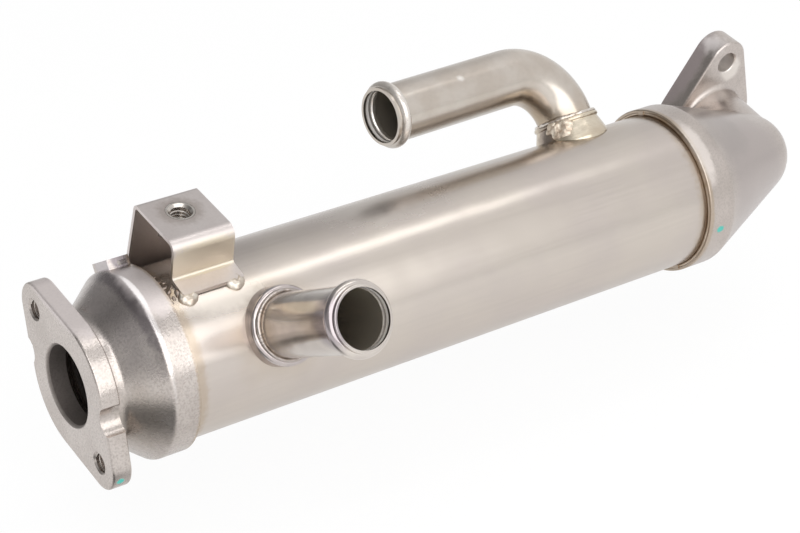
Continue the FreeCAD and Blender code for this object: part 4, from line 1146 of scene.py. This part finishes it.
# Studio
@dataclass(frozen=True)
class SoftLight:
    """A rectangular soft light aimed at the cooler. Lengths in metres.

    It hangs in the direction of towards, and its glow is its brightness whatever its size.
    """

    name: str
    towards: Triple
    distance: float
    length: float
    width: float
    glow: float

    def build(self, target: Vector) -> None:
        """Add the light.

        Args:
            target: the point that it is aimed at.
        """
        lamp = bpy.data.lights.new(self.name, "AREA")
        lamp.shape = "RECTANGLE"
        lamp.size = self.length
        lamp.size_y = self.width
        lamp.energy = self.glow * math.pi * self.length * self.width
        holder = bpy.data.objects.new(self.name, lamp)
        bpy.context.scene.collection.objects.link(holder)
        way = Vector(self.towards).normalized()
        side = Vector(ALONG_X)
        side = (side - way * side.dot(way)).normalized()
        turn = Matrix((side, way.cross(side), way)).transposed().to_4x4()
        holder.matrix_world = Matrix.Translation(target + way * self.distance) @ turn


@dataclass(frozen=True)
class DarkCard:
    """A soft dark card far away that only reflections show.

    Edge and full are cosines of the angles from its middle where it starts and is full.
    """

    towards: Triple
    edge: float
    full: float
    depth: float


@dataclass
class Studio:
    """The camera at the photograph's angle, soft lights, a white surround and a pale floor.

    The eye and the floor's card are in millimetres, and the floor is in metres. The fill is
    the surround's strength as light.
    """

    eye: Triple = (-255.12, -463.48, 452.44)
    ahead: Triple = (0.515689, 0.615851, -0.595645)
    down: Triple = (-0.267910, -0.544445, -0.794861)
    focal_pixels: float = 2107.0
    image_width: float = 800.0
    sensor: float = 36.0
    fill: float = 0.8
    up: Triple = (0.0, 0.196, 0.981)
    floor_drop: float = 0.075
    floor_size: float = 12.0
    floor_parts: int = 4
    floor_tint: Colour = (0.98, 0.98, 0.98)
    floor_glow: float = 0.9
    floor_gloss: float = 0.25
    cards: Tuple[DarkCard, ...] = (
        DarkCard((-0.30, 0.904, 0.302), edge=0.40, full=0.92, depth=0.64),
        DarkCard((-0.832, 0.0, 0.555), edge=0.45, full=0.92, depth=0.48))
    floor_card: Triple = (-40.0, -95.0, -50.0)
    floor_card_reach: Triple = (68.0, 68.0, 60.0)
    floor_card_soft: float = 0.5
    floor_card_depth: float = 0.8
    floor_card_tint: Colour = (0.02, 0.02, 0.02)
    lights: Tuple[SoftLight, ...] = (
        SoftLight("top_strip", (0.24, 0.135, 1.0), distance=1.10, length=0.85, width=0.16,
                  glow=2.2),
        SoftLight("front_box", (-0.12, -0.74, 0.66), distance=1.20, length=1.50, width=1.10,
                  glow=1.62),
        SoftLight("top_box", (-0.42, -0.20, 0.90), distance=1.35, length=0.60, width=0.60,
                  glow=1.4))

    def camera(self) -> None:
        """Set the camera up as the photograph's."""
        lens = bpy.data.cameras.new("photo_camera")
        lens.sensor_width = self.sensor
        lens.lens = self.focal_pixels * self.sensor / self.image_width
        holder = bpy.data.objects.new("photo_camera", lens)
        bpy.context.scene.collection.objects.link(holder)
        ahead, down = Vector(self.ahead), Vector(self.down)
        turn = Matrix((down.cross(ahead), -down, -ahead)).transposed().to_4x4()
        holder.matrix_world = Matrix.Translation(Vector(self.eye) * MM) @ turn
        bpy.context.scene.camera = holder

    def surround(self) -> None:
        """White all round, with the soft dark cards that only reflections show."""
        world = bpy.data.worlds.new("white_surround")
        bpy.context.scene.world = world
        world.use_nodes = True
        shader = Shader(world.node_tree)
        way = shader.node("ShaderNodeTexCoord", output="Generated")
        straight, glossy, through = shader.rays()
        bright: Number = 1.0
        for card in self.cards:
            facing = shader.node("ShaderNodeVectorMath", {"operation": "DOT_PRODUCT"},
                                 {0: way, 1: card.towards}, "Value")
            bright = bright * (1.0 - shader.smooth(facing, card.edge, card.full) * card.depth)
        colour = shader.blend(BLACK, WHITE, bright.top(straight))
        even = shader.node("ShaderNodeBackground", {}, {"Color": WHITE, "Strength": self.fill})
        white = shader.node("ShaderNodeBackground", {}, {"Color": colour, "Strength": 1.0})
        seen = straight.top(glossy).top(through)
        shader.show(shader.merge(even, white, seen), "ShaderNodeOutputWorld")

    def floor(self, centre: Vector) -> None:
        """A wide pale floor that keeps a faint shadow, with a dark card for reflections.

        Args:
            centre: the middle of the cooler.
        """
        deselect()
        up = Vector(self.up).normalized()
        bpy.ops.mesh.primitive_grid_add(
            x_subdivisions=self.floor_parts, y_subdivisions=self.floor_parts,
            size=self.floor_size)
        plane = bpy.context.object
        plane.name = "floor"
        plane.data.transform(up.to_track_quat("Z", "Y").to_matrix().to_4x4())
        plane.data.transform(Matrix.Translation(centre - up * self.floor_drop))
        material = bpy.data.materials.new("pale_floor")
        material.use_nodes = True
        shader = Shader(material.node_tree)
        matte = shader.node("ShaderNodeBsdfDiffuse", {}, {"Color": self.floor_tint})
        glow = shader.node("ShaderNodeEmission", {}, {"Color": WHITE, "Strength": 1.0})
        straight, glossy, through = shader.rays()
        share = (straight.top(through) * self.floor_glow).top(glossy * self.floor_gloss)
        pale = shader.merge(matte, glow, share)
        card = shader.spot(self.floor_card, self.floor_card_reach, self.floor_card_soft, self.up)
        card = card * glossy * self.floor_card_depth
        dark = shader.node("ShaderNodeBsdfDiffuse", {}, {"Color": self.floor_card_tint})
        shader.show(shader.merge(pale, dark, card))
        plane.data.materials.append(material)
        plane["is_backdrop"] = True

    def build(self, centre: Vector) -> None:
        """Set up the whole studio.

        Args:
            centre: the middle of the cooler.
        """
        bpy.context.scene.view_settings.view_transform = "Standard"
        self.camera()
        self.surround()
        self.floor(centre)
        for light in self.lights:
            light.build(centre)
        log.info("studio: %d lights", len(self.lights))


def plain(box: Sequence[Sequence[float]]) -> List[List[float]]:
    """A box as plain lists of numbers."""
    return [[float(number) for number in corner] for corner in box]


def main() -> None:
    """Build every sub-assembly in order on the frame, then the studio round it."""
    logging.basicConfig(level=logging.INFO, format="%(message)s")
    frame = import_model()
    solid_box = plain(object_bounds())
    dresser = Dresser(frame["nodes"])
    for assembly in (CoreAndShell(), Castings(), CoolantPipes(), Bracket()):
        assembly.build(dresser)
        log.info("%s done", type(assembly).__name__)
    low, high = (Vector(corner) for corner in solid_box)
    Studio().build((low + high) / 2.0)


if __name__ == "__main__":
    main()
